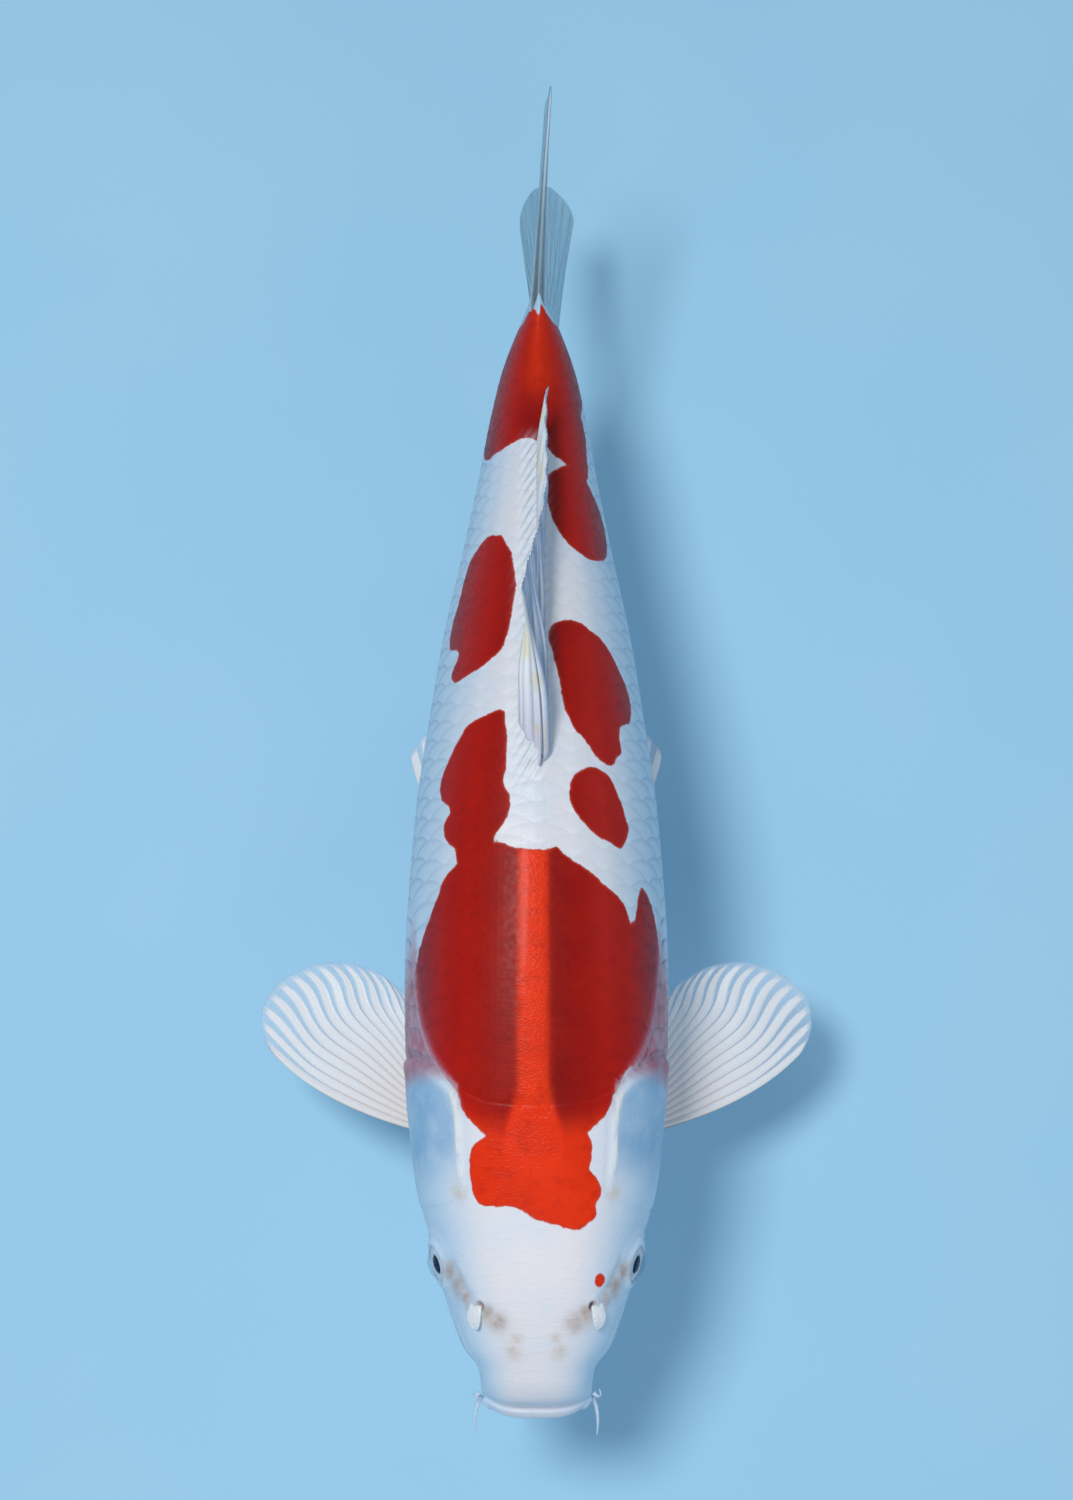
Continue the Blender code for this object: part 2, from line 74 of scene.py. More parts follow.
# Along, half-width, back, belly, squareness, sweep of the sides toward the tail
BODY_RINGS = np.array([
    (1.6, 18, -16.6, -18.2, 2.2, 5),
    (0.5, 20, -15, -19.8, 2.2, 5),
    (-0.6, 22.5, -12, -22.5, 2.3, 5.5),
    (1.5, 25, -8.5, -26, 2.3, 6.5),
    (4.2, 25.3, -7, -27, 2.3, 6.5),
    (6.5, 26.2, 5, -28.5, 2.3, 6.5),
    (12, 27, 14, -31, 2.4, 5.5),
    (20, 28.5, 21, -33.5, 2.5, 4),
    (30, 35, 28.5, -36.5, 2.5, 2.5),
    (45, 40.3, 38, -41.5, 2.5, 1),
    (60, 44.8, 45.3, -46.5, 2.5, 0),
    (80, 49.6, 52, -52, 2.5, 0),
    (105, 57.2, 60, -59, 2.4, 0),
    (140, 61.6, 70, -66, 2.3, 0),
    (180, 63.8, 78.5, -71.5, 2.25, 0),
    (220, 64.2, 83.5, -74.8, 2.2, 0),
    (260, 62.1, 86.5, -76, 2.2, 0),
    (300, 58.7, 85.5, -74.5, 2.2, 0),
    (340, 53.2, 80.5, -70.5, 2.15, 0),
    (380, 47.2, 71.5, -63.5, 2.1, 0),
    (420, 39, 61, -54, 2.1, 0),
    (460, 31.3, 49.5, -44, 2.05, 0),
    (500, 24.5, 39, -36.5, 2, 0),
    (530, 17.5, 34, -33, 1.9, 0),
    (560, 5.8, 36, -35.5, 1.5, 0),
    (566, 3.6, 35.4, -35, 1.6, 0),  # the flesh runs out over the tail fin's root
    (572, 1.6, 33.6, -33.2, 1.6, 0),
])
FIRST_BODY_ROW = 6
LAST_ROW = len(BODY_RINGS) - 1

# ---- the skin's own sizes
SIDES = 224  # points round the skin
MUZZLE_RINGS = 84
HEAD_STEP, TRUNK_STEP = 0.75, 2.6
HEAD_END = 150  # the rings are close together up to here

SCALE_ROWS = 26  # rows of scales round the body
SCALE_PITCH = (10.6, 8.6)  # from one scale to the next, at the nape and at the tail
SCALE_FIRST, SCALE_LAST = 100, 541
SCALE_LIFT = 0.1  # how far a scale's rear edge stands over the next one
SCALE_DOME = 0.05
SCALE_GRID = (9, 12)  # cells along and across a scale
SCALE_RIM = 0.3
SCALE_BED = 0.5  # the skin lies this far down under the scales
SENSORY_ROW = 7  # the scales with pores along the flank
SCALE_PATCH = 0.003  # a scale's size on the coat's map
FOLD_CLEAR = 6.5  # no scale is rooted this close to the fold behind the gill cover

# Rear edge of the head, where the scales come out from under it: (turn, along)
HEAD_EDGE = [(0, 136), (20, 139), (34, 146), (47, 155), (62, 162), (80, 167),
             (95, 167.5), (112, 163), (128, 154), (140, 143), (155, 124),
             (168, 112), (180, 108)]
# End of the scales on the root of the tail fin: (turn, along)
TAIL_EDGE = [(0, 539), (25, 535), (60, 526), (90, 522), (120, 526), (180, 538)]


# ---- places from the frame

def middle(node):
    low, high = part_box(node)
    return (Vector(low) + Vector(high)) / 2


FISH = np.array(middle("eye_left")) - np.array(EYE) * MM


def world(points):
    """Millimetres in the fish's frame to metres in the shared frame."""
    return np.asarray(points) * MM + FISH


# ---- the bare body

def catmull(rows, u):
    """Read a table of rows at the row numbers u, smoothly."""
    u = np.asarray(u, float)
    last = len(rows) - 1
    k = np.clip(u.astype(int), 0, last - 1)
    t = (u - k)[..., None]
    p, q = rows[np.maximum(k - 1, 0)], rows[k]
    r, s = rows[k + 1], rows[np.minimum(k + 2, last)]
    return 0.5 * (2 * q + (r - p) * t + (2 * p - 5 * q + 4 * r - s) * t ** 2
                  + (3 * q - p - 3 * r + s) * t ** 3)


ROW_SCAN = np.linspace(FIRST_BODY_ROW, LAST_ROW, 2001)
ALONG_SCAN = catmull(BODY_RINGS, ROW_SCAN)[:, 0]


def row_at(along):
    return np.interp(along, ALONG_SCAN, ROW_SCAN)


def sway(along):
    behind = np.maximum(0, along - SWAY_START)
    return SWAY_AT_TIP * (behind / (TOTAL_LENGTH - SWAY_START)) ** 2


def twist(along, z):
    share = np.clip((along - TWIST_START) / (TWIST_END - TWIST_START), 0, 1)
    return TWIST * share * share * np.maximum(0, -z)


def body(u, turn):
    """Points of the bare body at row numbers u and turns in degrees."""
    along, half, back, belly, square, sweep = np.moveaxis(catmull(BODY_RINGS, u), -1, 0)
    side, up = np.sin(np.radians(turn)), np.cos(np.radians(turn))
    level = belly + WIDEST_LEVEL * (back - belly)
    x = half * np.sign(side) * np.abs(side) ** (2 / square)
    z = level + np.where(up > 0, back - level, level - belly) * np.sign(up) * np.abs(up) ** (2 / square)
    y = along + sweep * np.abs(side) ** SWEEP_POWER
    y = y + CHIN_SETBACK * np.maximum(0, -up) * np.maximum(0, 1 - along / CHIN_END)
    reach = np.hypot(y - EYE[1], z - EYE[2]) / BROW_REACH
    x = x + np.sign(x) * BROW_HEIGHT * np.exp(-reach ** 4) * np.minimum(1, np.abs(x) / EYE[0])
    return np.stack([x + sway(y) + twist(y, z), y, z], -1)


def unit(vectors):
    return vectors / np.maximum(np.linalg.norm(vectors, axis=-1, keepdims=True), 1e-9)


def normals(u, turn):
    """Outward directions of the bare body."""
    ahead = body(np.minimum(u + 0.02, LAST_ROW), turn) - body(np.maximum(u - 0.02, 0), turn)
    round_it = body(u, turn + 1.5) - body(u, turn - 1.5)
    return unit(np.cross(round_it, ahead))


def girth(along):
    """Millimetres of skin for one degree of turn."""
    row = catmull(BODY_RINGS, row_at(along))
    deep = (row[..., 2] - row[..., 3]) / 2
    return 2 * math.pi * np.sqrt((row[..., 1] ** 2 + deep ** 2) / 2) / 360


# ---- distances on the skin

LINE_REACH = 20.0  # distances from lines are told up to here


def smooth(value, low, high):
    """0 below low, 1 above high, and an even slope between."""
    t = np.clip((value - low) / (high - low), 0, 1)
    return t * t * (3 - 2 * t)


def hump(distance, width):
    return np.exp(-(distance / width) ** 2)


def curve_through(points, steps, closed=False):
    """A smooth line through a path's or an outline's own points."""
    points = np.array(points, float)
    if not closed:
        return catmull(points, np.linspace(0, len(points) - 1, (len(points) - 1) * steps + 1))
    ring = np.concatenate([points[-2:], points, points[:3]])
    return catmull(ring, 2 + np.arange(len(points) * steps + 1) / steps)


def to_segments(line, a, b):
    """Distance of each place (a, b) from a line."""
    best = np.full(a.shape, 1e6)
    for (a0, b0), (a1, b1) in zip(line[:-1], line[1:]):
        da, db = a1 - a0, b1 - b0
        t = np.clip(((a - a0) * da + (b - b0) * db) / (da * da + db * db + 1e-9), 0, 1)
        best = np.minimum(best, (a - a0 - t * da) ** 2 + (b - b0 - t * db) ** 2)
    return np.sqrt(best)


def is_inside(line, a, b):
    odd = np.zeros(a.shape, bool)
    for (a0, b0), (a1, b1) in zip(line[:-1], line[1:]):
        crosses = (b0 > b) != (b1 > b)
        odd ^= crosses & (a < a0 + (b - b0) / (b1 - b0 + 1e-9) * (a1 - a0))
    return odd


def from_spot(along, turn, place, at):
    """Distance over the skin from one place."""
    return np.hypot(along - place, (turn - at) * girth(along))


def from_line(points, along, turn, closed=False):
    """Distance over the skin from a path of (along, turn) places; closed, how far inside an outline."""
    line = curve_through(points, 5 if closed else 4, closed)
    line[:, 1] *= girth(line[:, 0])
    a, b = along, turn * girth(along)
    low, high = line.min(0) - LINE_REACH, line.max(0) + LINE_REACH
    close = (a > low[0]) & (a < high[0]) & (b > low[1]) & (b < high[1])
    result = np.full(a.shape, -LINE_REACH if closed else LINE_REACH)
    gap = to_segments(line, a[close], b[close])
    result[close] = gap * np.where(is_inside(line, a[close], b[close]), 1, -1) if closed else gap
    return result


# ---- markings: (along, turn)

RED_PATCHES = {
    "crown": [
        (134, -12), (125, -17), (119, -26), (111, -28), (103, -28), (97, -27), (93, -24), (92, -18),
        (92, -9), (89, -3), (86, 0), (84, 6), (82, 13), (82, 18), (85, 23), (88, 27), (93, 26), (98, 28),
        (102, 27), (106, 24), (109, 21), (116, 22), (124, 20), (134, 13)],
    "saddle": [
        (122, -14), (127, -23), (136, -31), (145, -34), (154, -43), (163, -49), (174, -55), (185, -59),
        (198, -62), (207, -61), (216, -57), (224, -52), (231, -48), (238, -44), (243, -42), (248, -36),
        (251, -32), (256, -22), (257, -14), (254, -8), (253, -2), (253, 4), (255, 7), (251, 10), (247, 16),
        (243, 22), (239, 27), (235, 33), (231, 38), (226, 40), (222, 42), (226, 44.5), (232, 46),
        (237, 47.5), (242, 49.5), (238, 55), (230, 60), (220, 63), (208, 64), (196, 63), (184, 60),
        (171, 56), (161, 52), (156, 41), (149, 36), (142, 32), (136, 30), (129, 24), (123, 14)],
    "left_mid": [
        (244, -22), (252, -17), (260, -16), (266, -12), (272, -10), (279, -10), (285, -13), (291, -12),
        (298, -12), (306, -12), (314, -13), (322, -15), (320, -24), (317, -33), (312, -37), (305, -42),
        (299, -45), (293, -48), (287, -48), (282, -46), (279, -42), (275, -40), (271, -43), (265, -43),
        (260, -40), (257, -36), (253, -35), (246, -32)],
    "left_rear": [
        (418, -30), (417, -25), (411, -20), (406, -16), (398, -14), (388, -12), (376, -13), (366, -14),
        (358, -16), (353, -18), (348, -25), (345, -31), (343, -39), (342, -46), (346, -51), (351, -50),
        (356, -47), (360, -49), (363, -57), (369, -60), (378, -60), (388, -57), (398, -56), (407, -54),
        (414, -47), (419, -37)],
    "tail": [
        (468, -58), (468, -46), (469, -34), (471, -23), (472, -12), (470, -4), (466, 8), (462, 14),
        (458, 27), (454, 40), (455, 50), (461, 54), (470, 56), (480, 60), (489, 59), (494, 58), (500, 66),
        (510, 78), (525, 88), (540, 84), (544, 60), (543, 35), (549, 9), (543, 0), (549, -26), (543, -45),
        (544, -66), (536, -84), (520, -92), (500, -90), (484, -82), (474, -71)],
    "right_rear": [
        (456, 21), (459, 30), (458, 40), (452, 50), (445, 58), (437, 65), (426, 65), (414, 58), (408, 47),
        (406, 36), (409, 26), (413, 19), (421, 12), (430, 8), (440, 5), (448, 7), (453, 13)],
    "right_mid": [
        (363, 6), (367, 10), (369, 15), (369, 22), (366, 30), (362, 38), (356, 44), (349, 49), (342, 54),
        (332, 56), (323, 52), (319, 44), (312, 42), (305, 42), (301, 38), (297, 36), (297, 31), (300, 26),
        (306, 22), (311, 17), (319, 13), (328, 11), (338, 10), (346, 8), (352, 7), (358, 5)],
    "right_front": [
        (294, 22), (294, 27), (292, 32), (288, 35), (282, 38), (275, 41), (268, 43), (262, 41), (257, 37),
        (259, 31), (261, 25), (265, 20), (270, 16), (276, 13), (284, 13), (290, 16)],
}
GILL_COVER = [(99, 33), (113, 32), (127, 32), (139, 33), (147, 37), (155, 47), (162, 62), (166, 80),
              (166, 95), (162, 112), (153, 127), (140, 139), (124, 148), (110, 152), (106, 138),
              (101, 118), (98, 96), (96, 74), (95, 50)]
COVER_RIDGE = [(145, 35), (136, 34), (126, 33.5), (116, 34), (107, 33)]
FOLD_BEHIND_GILL = [(147, 34), (155, 43), (164, 50), (175, 56), (187, 60), (202, 63), (228, 66)]
SNOUT_SHADES = [(41, 22, 4.4), (46, 28, 3), (58, 52, 6), (52, 46, 4), (65, 57, 5)]
CHEEK_SPOT = (60, 36, 3.3)  # along, turn, radius
SNOUT_MARKS = [(28, 14, 3.2), (34, 10, 2.2), (43, 31, 3.2), (99, 36, 4)]
BAND_TURN, BAND_HALF = -1.2, 4.8
BAND_START, BAND_END = 132, 290


def red_patches(along, turn):
    """How far inside the red each place of the skin is, in mm."""
    place, at, size = CHEEK_SPOT
    best = size - from_spot(along, turn, place, at)
    for outline in RED_PATCHES.values():
        best = np.maximum(best, from_line(outline, along, turn, closed=True))
    return np.maximum(best, -LINE_REACH)


def fold_turn(along):
    """Turn of the fold behind the gill cover at each station."""
    return np.interp(along, *np.array(FOLD_BEHIND_GILL).T)


def fold_gap(along, turn):
    """Distance from that fold."""
    return from_line(FOLD_BEHIND_GILL, along, np.abs(turn))


def fold_fade(along):
    """1 along the fold, down to 0 at its rear end."""
    return smooth(-along, -236, -215)


def on_band(along, turn):
    """The flat band along the back, 1 on it."""
    spread = BAND_HALF + 4 * smooth(-along, -150, -118)
    across = 1 - smooth(np.abs(turn - BAND_TURN), spread - 2.4, spread + 2.6)
    return across * smooth(along, BAND_START - 30, BAND_START) * (1 - smooth(along, BAND_END - 8, BAND_END))


def dorsal_sheath(along):
    """1 along the foot of the dorsal fin."""
    return smooth(along, 276, 296) * (1 - smooth(along, 462, 480))


def markings(along, turn):
    """The named values that the skin's and the scales' material reads."""
    flank = np.abs(turn)

    def spots(table):
        return np.max([hump(from_spot(along, flank, place, at), size) for place, at, size in table], 0)

    outside = smooth(flank - fold_turn(along), -5.5, -1)
    pearl = from_line(GILL_COVER, along, flank, closed=True)
    # Painted highlight: a patch of orange on top of the tail stalk, carried in the band's value.
    stalk_highlight = 0.55 * smooth(along, 478, 512) * hump(flank, 30)
    return {
        "red": red_patches(along, turn),
        "band": np.maximum(on_band(along, turn), stalk_highlight),
        "pearl": smooth(pearl, -1, 7) * smooth(along, 98, 122) * (1 - 0.6 * smooth(flank, 66, 104)),
        "gill_edge_shade": hump(pearl + 1, 1.1) * smooth(along, 128, 142),
        "ridge_line": hump(from_line(COVER_RIDGE, along, flank), 1.5),
        "fold_highlight": hump(fold_gap(along, turn) - 0.3, 0.8) * fold_fade(along),
        "blush": outside * smooth(along, 148, 160) * smooth(-along - 0.9 * (flank - 62), -246, -196)
                 * smooth(-flank, -106, -76),
        "shade": spots(SNOUT_SHADES),
        "marks": spots(SNOUT_MARKS),
        # Painted shade in each nostril's pit.
        "nostril": hump(from_spot(along, flank, *NOSTRIL), 2.3),
        "sheath": dorsal_sheath(along) * hump(turn * girth(along) + 3, 6.5),
        "stalk": smooth(along, 534, 548),
        "low": flank / 180,
        "head": 1 - smooth(along - edge_at(HEAD_EDGE, turn), -20, 3),
        "lips": smooth(-along, -9, -3),
    }


def edge_at(table, turn):
    """Station of a (turn, along) edge at each turn."""
    turns, stations = np.array(table).T
    return np.interp(np.abs(turn), turns, stations)


# ---- relief of the skin

SOCKET_DEPTH, SOCKET_RADIUS = 4.5, 8.7
EYE_AXIS = np.array([math.cos(math.radians(18)), -math.sin(math.radians(18)), 0])
EYE_AXIS = EYE_AXIS * math.cos(math.radians(17)) + np.array([0, 0, math.sin(math.radians(17))])
NOSTRIL = (48.5, 34)  # along, turn
NOSTRIL_DEPTH, NOSTRIL_RADIUS = 2.6, 1.9
CHEEK_FOLD = [(64, 84), (56, 80), (47, 73), (39, 68), (30, 67), (21, 69)]
CHEEK_GROOVE = [(66, 96), (75, 108), (88, 114), (98, 112)]
EYE_TO_NOSTRIL = [(69, 54), (63, 50), (57, 46), (53, 41)]
NAPE_NOTCH = [(139, -7), (137, -5), (135, -2.5), (133, -0.5), (132, 2), (135, 3), (138, 2.5)]
JAW_LINE = [(8, 108), (18, 112), (30, 122), (42, 132), (54, 142)]


def eye_gap(points, side):
    """Distance of each point from the line through an eye, where it is on the eye's side."""
    out = EYE_AXIS * [side, 1, 1]
    away = points - np.array(EYE) * [side, 1, 1]
    ahead = away @ out
    gap = np.sqrt(np.maximum(0, (away ** 2).sum(-1) - ahead ** 2))
    return np.where(ahead > 0, gap, 99.0)


def eye_relief(points):
    rise = np.zeros(points.shape[:-1])
    for side in (1, -1):
        gap = eye_gap(points, side)
        rise -= SOCKET_DEPTH * (1 - smooth(gap, SOCKET_RADIUS - 0.9, SOCKET_RADIUS + 0.9))
        rise += 0.75 * hump(gap - SOCKET_RADIUS - 1.5, 1.2)
        above = smooth(points[..., 2] - EYE[2], -2, 6)
        rise += 0.9 * above * hump(gap - SOCKET_RADIUS - 3, 2.6)
        rise -= 0.35 * hump(gap - SOCKET_RADIUS - 4.6, 1.3)
        rise += 0.25 * hump(gap - SOCKET_RADIUS - 7, 1.8)
    return rise


def head_relief(along, turn, flank):
    """Nostrils, cheek folds, jaw and the edge of the gill cover."""
    pit = from_spot(along, flank, *NOSTRIL)
    rise = 0.5 * hump(pit - NOSTRIL_RADIUS - 1.3, 1.2)
    rise -= NOSTRIL_DEPTH * (1 - smooth(pit, NOSTRIL_RADIUS - 1, NOSTRIL_RADIUS + 0.6))
    rise -= 0.55 * hump(from_line(CHEEK_FOLD, along, flank), 1.5)
    rise -= 0.45 * hump(from_line(CHEEK_GROOVE, along, flank), 1.7)
    rise -= 0.5 * hump(from_line(JAW_LINE, along, flank), 1.4)
    rise -= 0.8 * hump(from_line(NAPE_NOTCH, along, turn), 0.8)
    cover = from_line(GILL_COVER, along, flank, closed=True)
    rear = smooth(along, 132, 146)
    rise += (0.25 + 0.45 * rear) * smooth(cover, -0.5, 1.3) + 0.35 * rear * hump(cover - 2.2, 1.9)
    rise -= (0.45 + 0.5 * rear) * hump(cover + 1.3, 1.2)
    rise += 0.8 * hump(from_line(COVER_RIDGE, along, flank), 1.5)
    rise -= 0.8 * hump(from_line(EYE_TO_NOSTRIL, along, flank), 2.4)
    rise += 1.3 * hump(from_spot(along, flank, 7, 86), 5.5)  # mouth corners
    rise -= 0.7 * hump(from_spot(along, flank, 18, 78), 6)
    return rise


def relief(points, along, turn):
    """How far the skin stands out from the bare body, in mm."""
    flank = np.abs(turn)
    rise = head_relief(along, turn, flank) + eye_relief(points)
    rise += 0.55 * on_band(along, turn) * smooth(along, BAND_START, BAND_START + 12)
    rise += 2.4 * dorsal_sheath(along) * hump(turn * girth(along), 5.5)
    fold = fold_gap(along, turn)
    groove = 0.5 * hump(fold - 2.4, 1.2) * (flank > fold_turn(along))
    return rise + fold_fade(along) * (0.45 * hump(fold, 1.1) - groove)


def bed(along, turn):
    """The skin's drop under the scales, and the head's rise over the first of them."""
    behind_head = along - edge_at(HEAD_EDGE, turn)
    ahead_of_tail = edge_at(TAIL_EDGE, turn) - along
    under = smooth(behind_head, -0.4, 1) * smooth(ahead_of_tail, -0.5, 1.5)
    under = under * smooth(fold_gap(along, turn), 3.5, 6)
    lip = 0.4 * smooth(behind_head, -12, -1) * (1 - smooth(behind_head, -0.6, 0.6))
    return lip - SCALE_BED * under


# ---- making pieces

def in_scene(name, data):
    thing = bpy.data.objects.new(name, data)
    bpy.context.scene.collection.objects.link(thing)
    return thing


def make_mesh(name, points, faces, finish, values=None, corners=None):
    """A smooth-shaded piece from points in mm, with named values per point and a map per corner."""
    mesh = bpy.data.meshes.new(name)
    mesh.from_pydata(world(points).reshape(-1, 3).tolist(), [], faces)
    mesh.polygons.foreach_set("use_smooth", np.ones(len(mesh.polygons), bool))
    for key, amounts in (values or {}).items():
        layer = mesh.attributes.new(key, "FLOAT", "POINT")
        layer.data.foreach_set("value", np.asarray(amounts, np.float32).ravel())
    if corners is not None:
        layer = mesh.uv_layers.new(name="OFBake")
        layer.data.foreach_set("uv", np.asarray(corners, np.float32).ravel())
    mesh.materials.append(finish)
    return in_scene(name, mesh)


def hand_over(piece, slot, *nodes):
    """The piece rides on the model, and stands for these solids."""
    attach(piece, "root")
    if nodes:
        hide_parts(*nodes)


def sheet_faces(rows, columns, closed=False):
    """Quads of a grid of points, rows by columns."""
    i, j = np.meshgrid(np.arange(rows - 1), np.arange(columns if closed else columns - 1), indexing="ij")
    n = (j + 1) % columns
    quads = [i * columns + j, i * columns + n, (i + 1) * columns + n, (i + 1) * columns + j]
    return np.stack(quads, -1).reshape(-1, 4)


def border_of(rows, columns):
    """Numbers of the points round a grid's edge, in order."""
    grid = np.arange(rows * columns).reshape(rows, columns)
    return np.concatenate([grid[0, :-1], grid[:-1, -1], grid[-1, :0:-1], grid[:0:-1, 0]])


def ring_faces(rings, sides):
    """Quads of a row of closed rings, then the two caps that end it."""
    caps = [list(range(sides)), list(range((rings - 1) * sides, rings * sides))[::-1]]
    return sheet_faces(rings, sides, closed=True)[:, ::-1].tolist() + caps


def build_skin(finish):
    head = np.arange(BODY_RINGS[FIRST_BODY_ROW][0], HEAD_END, HEAD_STEP)
    trunk = np.arange(HEAD_END, ALONG_SCAN[-1], TRUNK_STEP)
    rows = np.concatenate([np.linspace(0, FIRST_BODY_ROW, MUZZLE_RINGS, endpoint=False),
                           row_at(np.concatenate([head, trunk])), [LAST_ROW]])
    u, turn = np.meshgrid(rows, np.linspace(-180, 180, SIDES, endpoint=False), indexing="ij")
    bare = body(u, turn)
    along = bare[..., 1]
    rise = relief(bare, along, turn) + bed(along, turn)
    points = bare + normals(u, turn) * rise[..., None]
    values = markings(along, turn)
    # The mouth closes over a pocket that narrows inward
    pocket = [points[0] * [0.96 - 0.1 * k, 1, 1] + [0, 2.5 + 2.5 * k, 0] for k in (2, 1, 0)]
    points = np.concatenate([pocket, points])
    values = {key: np.concatenate([amounts[:1]] * 3 + [amounts]) for key, amounts in values.items()}
    count = len(points)
    # The map is the skin cut open along the belly, so it has one column more
    cell = sheet_faces(count, SIDES + 1)[:, ::-1].ravel()
    flat = np.stack([cell % (SIDES + 1), cell // (SIDES + 1)], -1) / [SIDES, count - 1]
    cap_map = [(k / SIDES, 0) for k in range(SIDES)] + [(k / SIDES, 1) for k in reversed(range(SIDES))]
    corners = np.concatenate([flat, cap_map])
    skin = make_mesh("skin", points, ring_faces(count, SIDES), finish, values, corners)
    hand_over(skin, "skin_white", "head", "lips", "lower_jaw", "gill_cover_left", "gill_cover_right",
              "trunk_front", "trunk_rear", "tail_stalk")


# ---- scales

def pitch_at(station):
    return np.interp(station, [HEAD_EDGE[0][1], SCALE_LAST], SCALE_PITCH)


def scale_stations():
    stations = [SCALE_FIRST]
    while stations[-1] < SCALE_LAST:
        stations.append(stations[-1] + pitch_at(stations[-1]))
    return np.array(stations)


def scale_places(rows):
    """Station and turn of each scale in these rows, each second row half a scale further back."""
    stations = scale_stations()
    width = 360 / SCALE_ROWS
    places = []
    for row in rows:
        turn = row * width
        for k in range(len(stations) - 1):
            station = np.interp(k + 0.5 * (row % 2), np.arange(len(stations)), stations)
            if edge_at(HEAD_EDGE, turn) - 6 < station < edge_at(TAIL_EDGE, turn) - 2:
                places.append((station, turn, row))
    places = np.array(places)
    return places[fold_gap(places[:, 0], places[:, 1]) > FOLD_CLEAR]


def build_scales(name, rows, finish):
    """Each scale is a closed thin plate: a domed top, a rim under its edge, and a flat underside."""
    places = scale_places(rows)
    station, middle_turn, row = (places[:, k, None, None] for k in range(3))
    pitch = pitch_at(station)
    long, wide = SCALE_GRID
    a, b = np.meshgrid(np.linspace(0, 1, long + 1), np.linspace(-1, 1, wide + 1), indexing="ij")
    turn = middle_turn + b * 360 / SCALE_ROWS * 1.02
    front = station - pitch * (0.6 - 0.25 * b ** 2)
    rear = station + pitch * 0.98 * np.sqrt(1 - 0.96 * b ** 2)
    rear = np.minimum(rear, edge_at(TAIL_EDGE, turn) + 1.5)
    along = front + a * (rear - front)
    high = SCALE_LIFT + 0.08 * smooth(np.abs(turn), 35, 75)
    lift = high * (along - station) / pitch + SCALE_DOME * (1 - b ** 2) * smooth(a, 0, 0.6) - 0.1
    lift = lift - 0.45 * (1 - smooth(a, 0, 0.22))
    lift = lift - 0.9 * smooth(edge_at(HEAD_EDGE, turn) - along, -0.5, 2.5)
    sensory = np.abs(np.abs(row) - SENSORY_ROW) < 0.5
    lift = lift + sensory * 0.22 * hump(b, 0.09) * smooth(a, 0.35, 0.5) * (1 - smooth(a, 0.8, 0.9))
    u = row_at(along)
    bare, outward = body(u, turn), normals(u, turn)
    top = bare + outward * (relief(bare, along, turn) + lift)[..., None]

    border = border_of(long + 1, wide + 1)
    count, around = a.size, len(border)
    flat_top, flat_out = (grid.reshape(len(places), count, 3) for grid in (top, outward))
    rim = flat_top[:, border] - flat_out[:, border] * SCALE_RIM
    inner = rim.mean(1, keepdims=True) - flat_out[:, [count // 2]] * 0.15
    points = np.concatenate([flat_top, rim, inner], 1)
    each = points.shape[1]
    low = count + np.arange(around)
    walls = np.stack([border, np.roll(border, -1), np.roll(low, -1), low], -1)
    base = np.stack([low, np.roll(low, -1), np.full(around, each - 1)], -1)
    offsets = (np.arange(len(places)) * each)[:, None, None]
    quads = np.concatenate([sheet_faces(long + 1, wide + 1)[:, ::-1], walls])[None] + offsets
    tris = base[None] + offsets
    faces = quads.reshape(-1, 4).tolist() + tris.reshape(-1, 3).tolist()

    pick = np.concatenate([np.arange(count), border, [count // 2]])
    values = {key: amounts.reshape(len(places), count)[:, pick]
              for key, amounts in markings(along, turn).items()}
    across, out = b.ravel()[pick], a.ravel()[pick]
    values["across"] = np.broadcast_to(across, (len(places), each))
    values["out"] = np.broadcast_to(out, (len(places), each))
    patch = np.stack([across, 2 * out - 1], -1) * SCALE_PATCH / 2
    roots = np.stack([(places[:, 1] + 180) / 360, places[:, 0] / ALONG_SCAN[-1]], -1)
    maps = (roots[:, None] + patch[None]).reshape(-1, 2)
    corners = np.concatenate([maps[quads.ravel()], maps[tris.ravel()]])
    coat = make_mesh(name, points, faces, finish, values, corners)
    coat.data.set_sharp_from_angle(angle=math.radians(35))
    hand_over(coat, "skin_patched")


# ---- eyes, nostril flaps and barbels

# Half section of an eyeball from its axis out and round the back: (radius, height)
LENS = [(0, 7.5), (1.5, 7.45), (2.9, 7.25), (3.9, 6.9), (4.35, 6.4)]
IRIS = [(4.5, 6.3), (4.8, 6.75), (5.6, 6.9), (6.9, 6.7), (8, 6.3), (8.7, 5.8)]
CORNEA_REACH = 57  # degrees from the eye's axis
ROUND = 48


def turned(profile, side):
    """Points of a profile turned round an eye's axis, in rings of ROUND."""
    axis = Vector(EYE_AXIS * [side, 1, 1])
    across = axis.cross(Vector((0, 0, 1))).normalized()
    over = across.cross(axis)
    spin = np.linspace(0, 2 * math.pi, ROUND, endpoint=False)
    ring = np.outer(np.cos(spin), across) + np.outer(np.sin(spin), over)
    radius, height = np.array(profile).T
    centre = np.array(EYE) * [side, 1, 1]
    return centre + radius[:, None, None] * ring[None] + height[:, None, None] * np.array(axis)


def turned_piece(name, profile, side, finish, values=None):
    faces = ring_faces(len(profile), ROUND)
    if side < 0:
        faces = [face[::-1] for face in faces]
    return make_mesh(name, turned(profile, side), faces, finish, values)


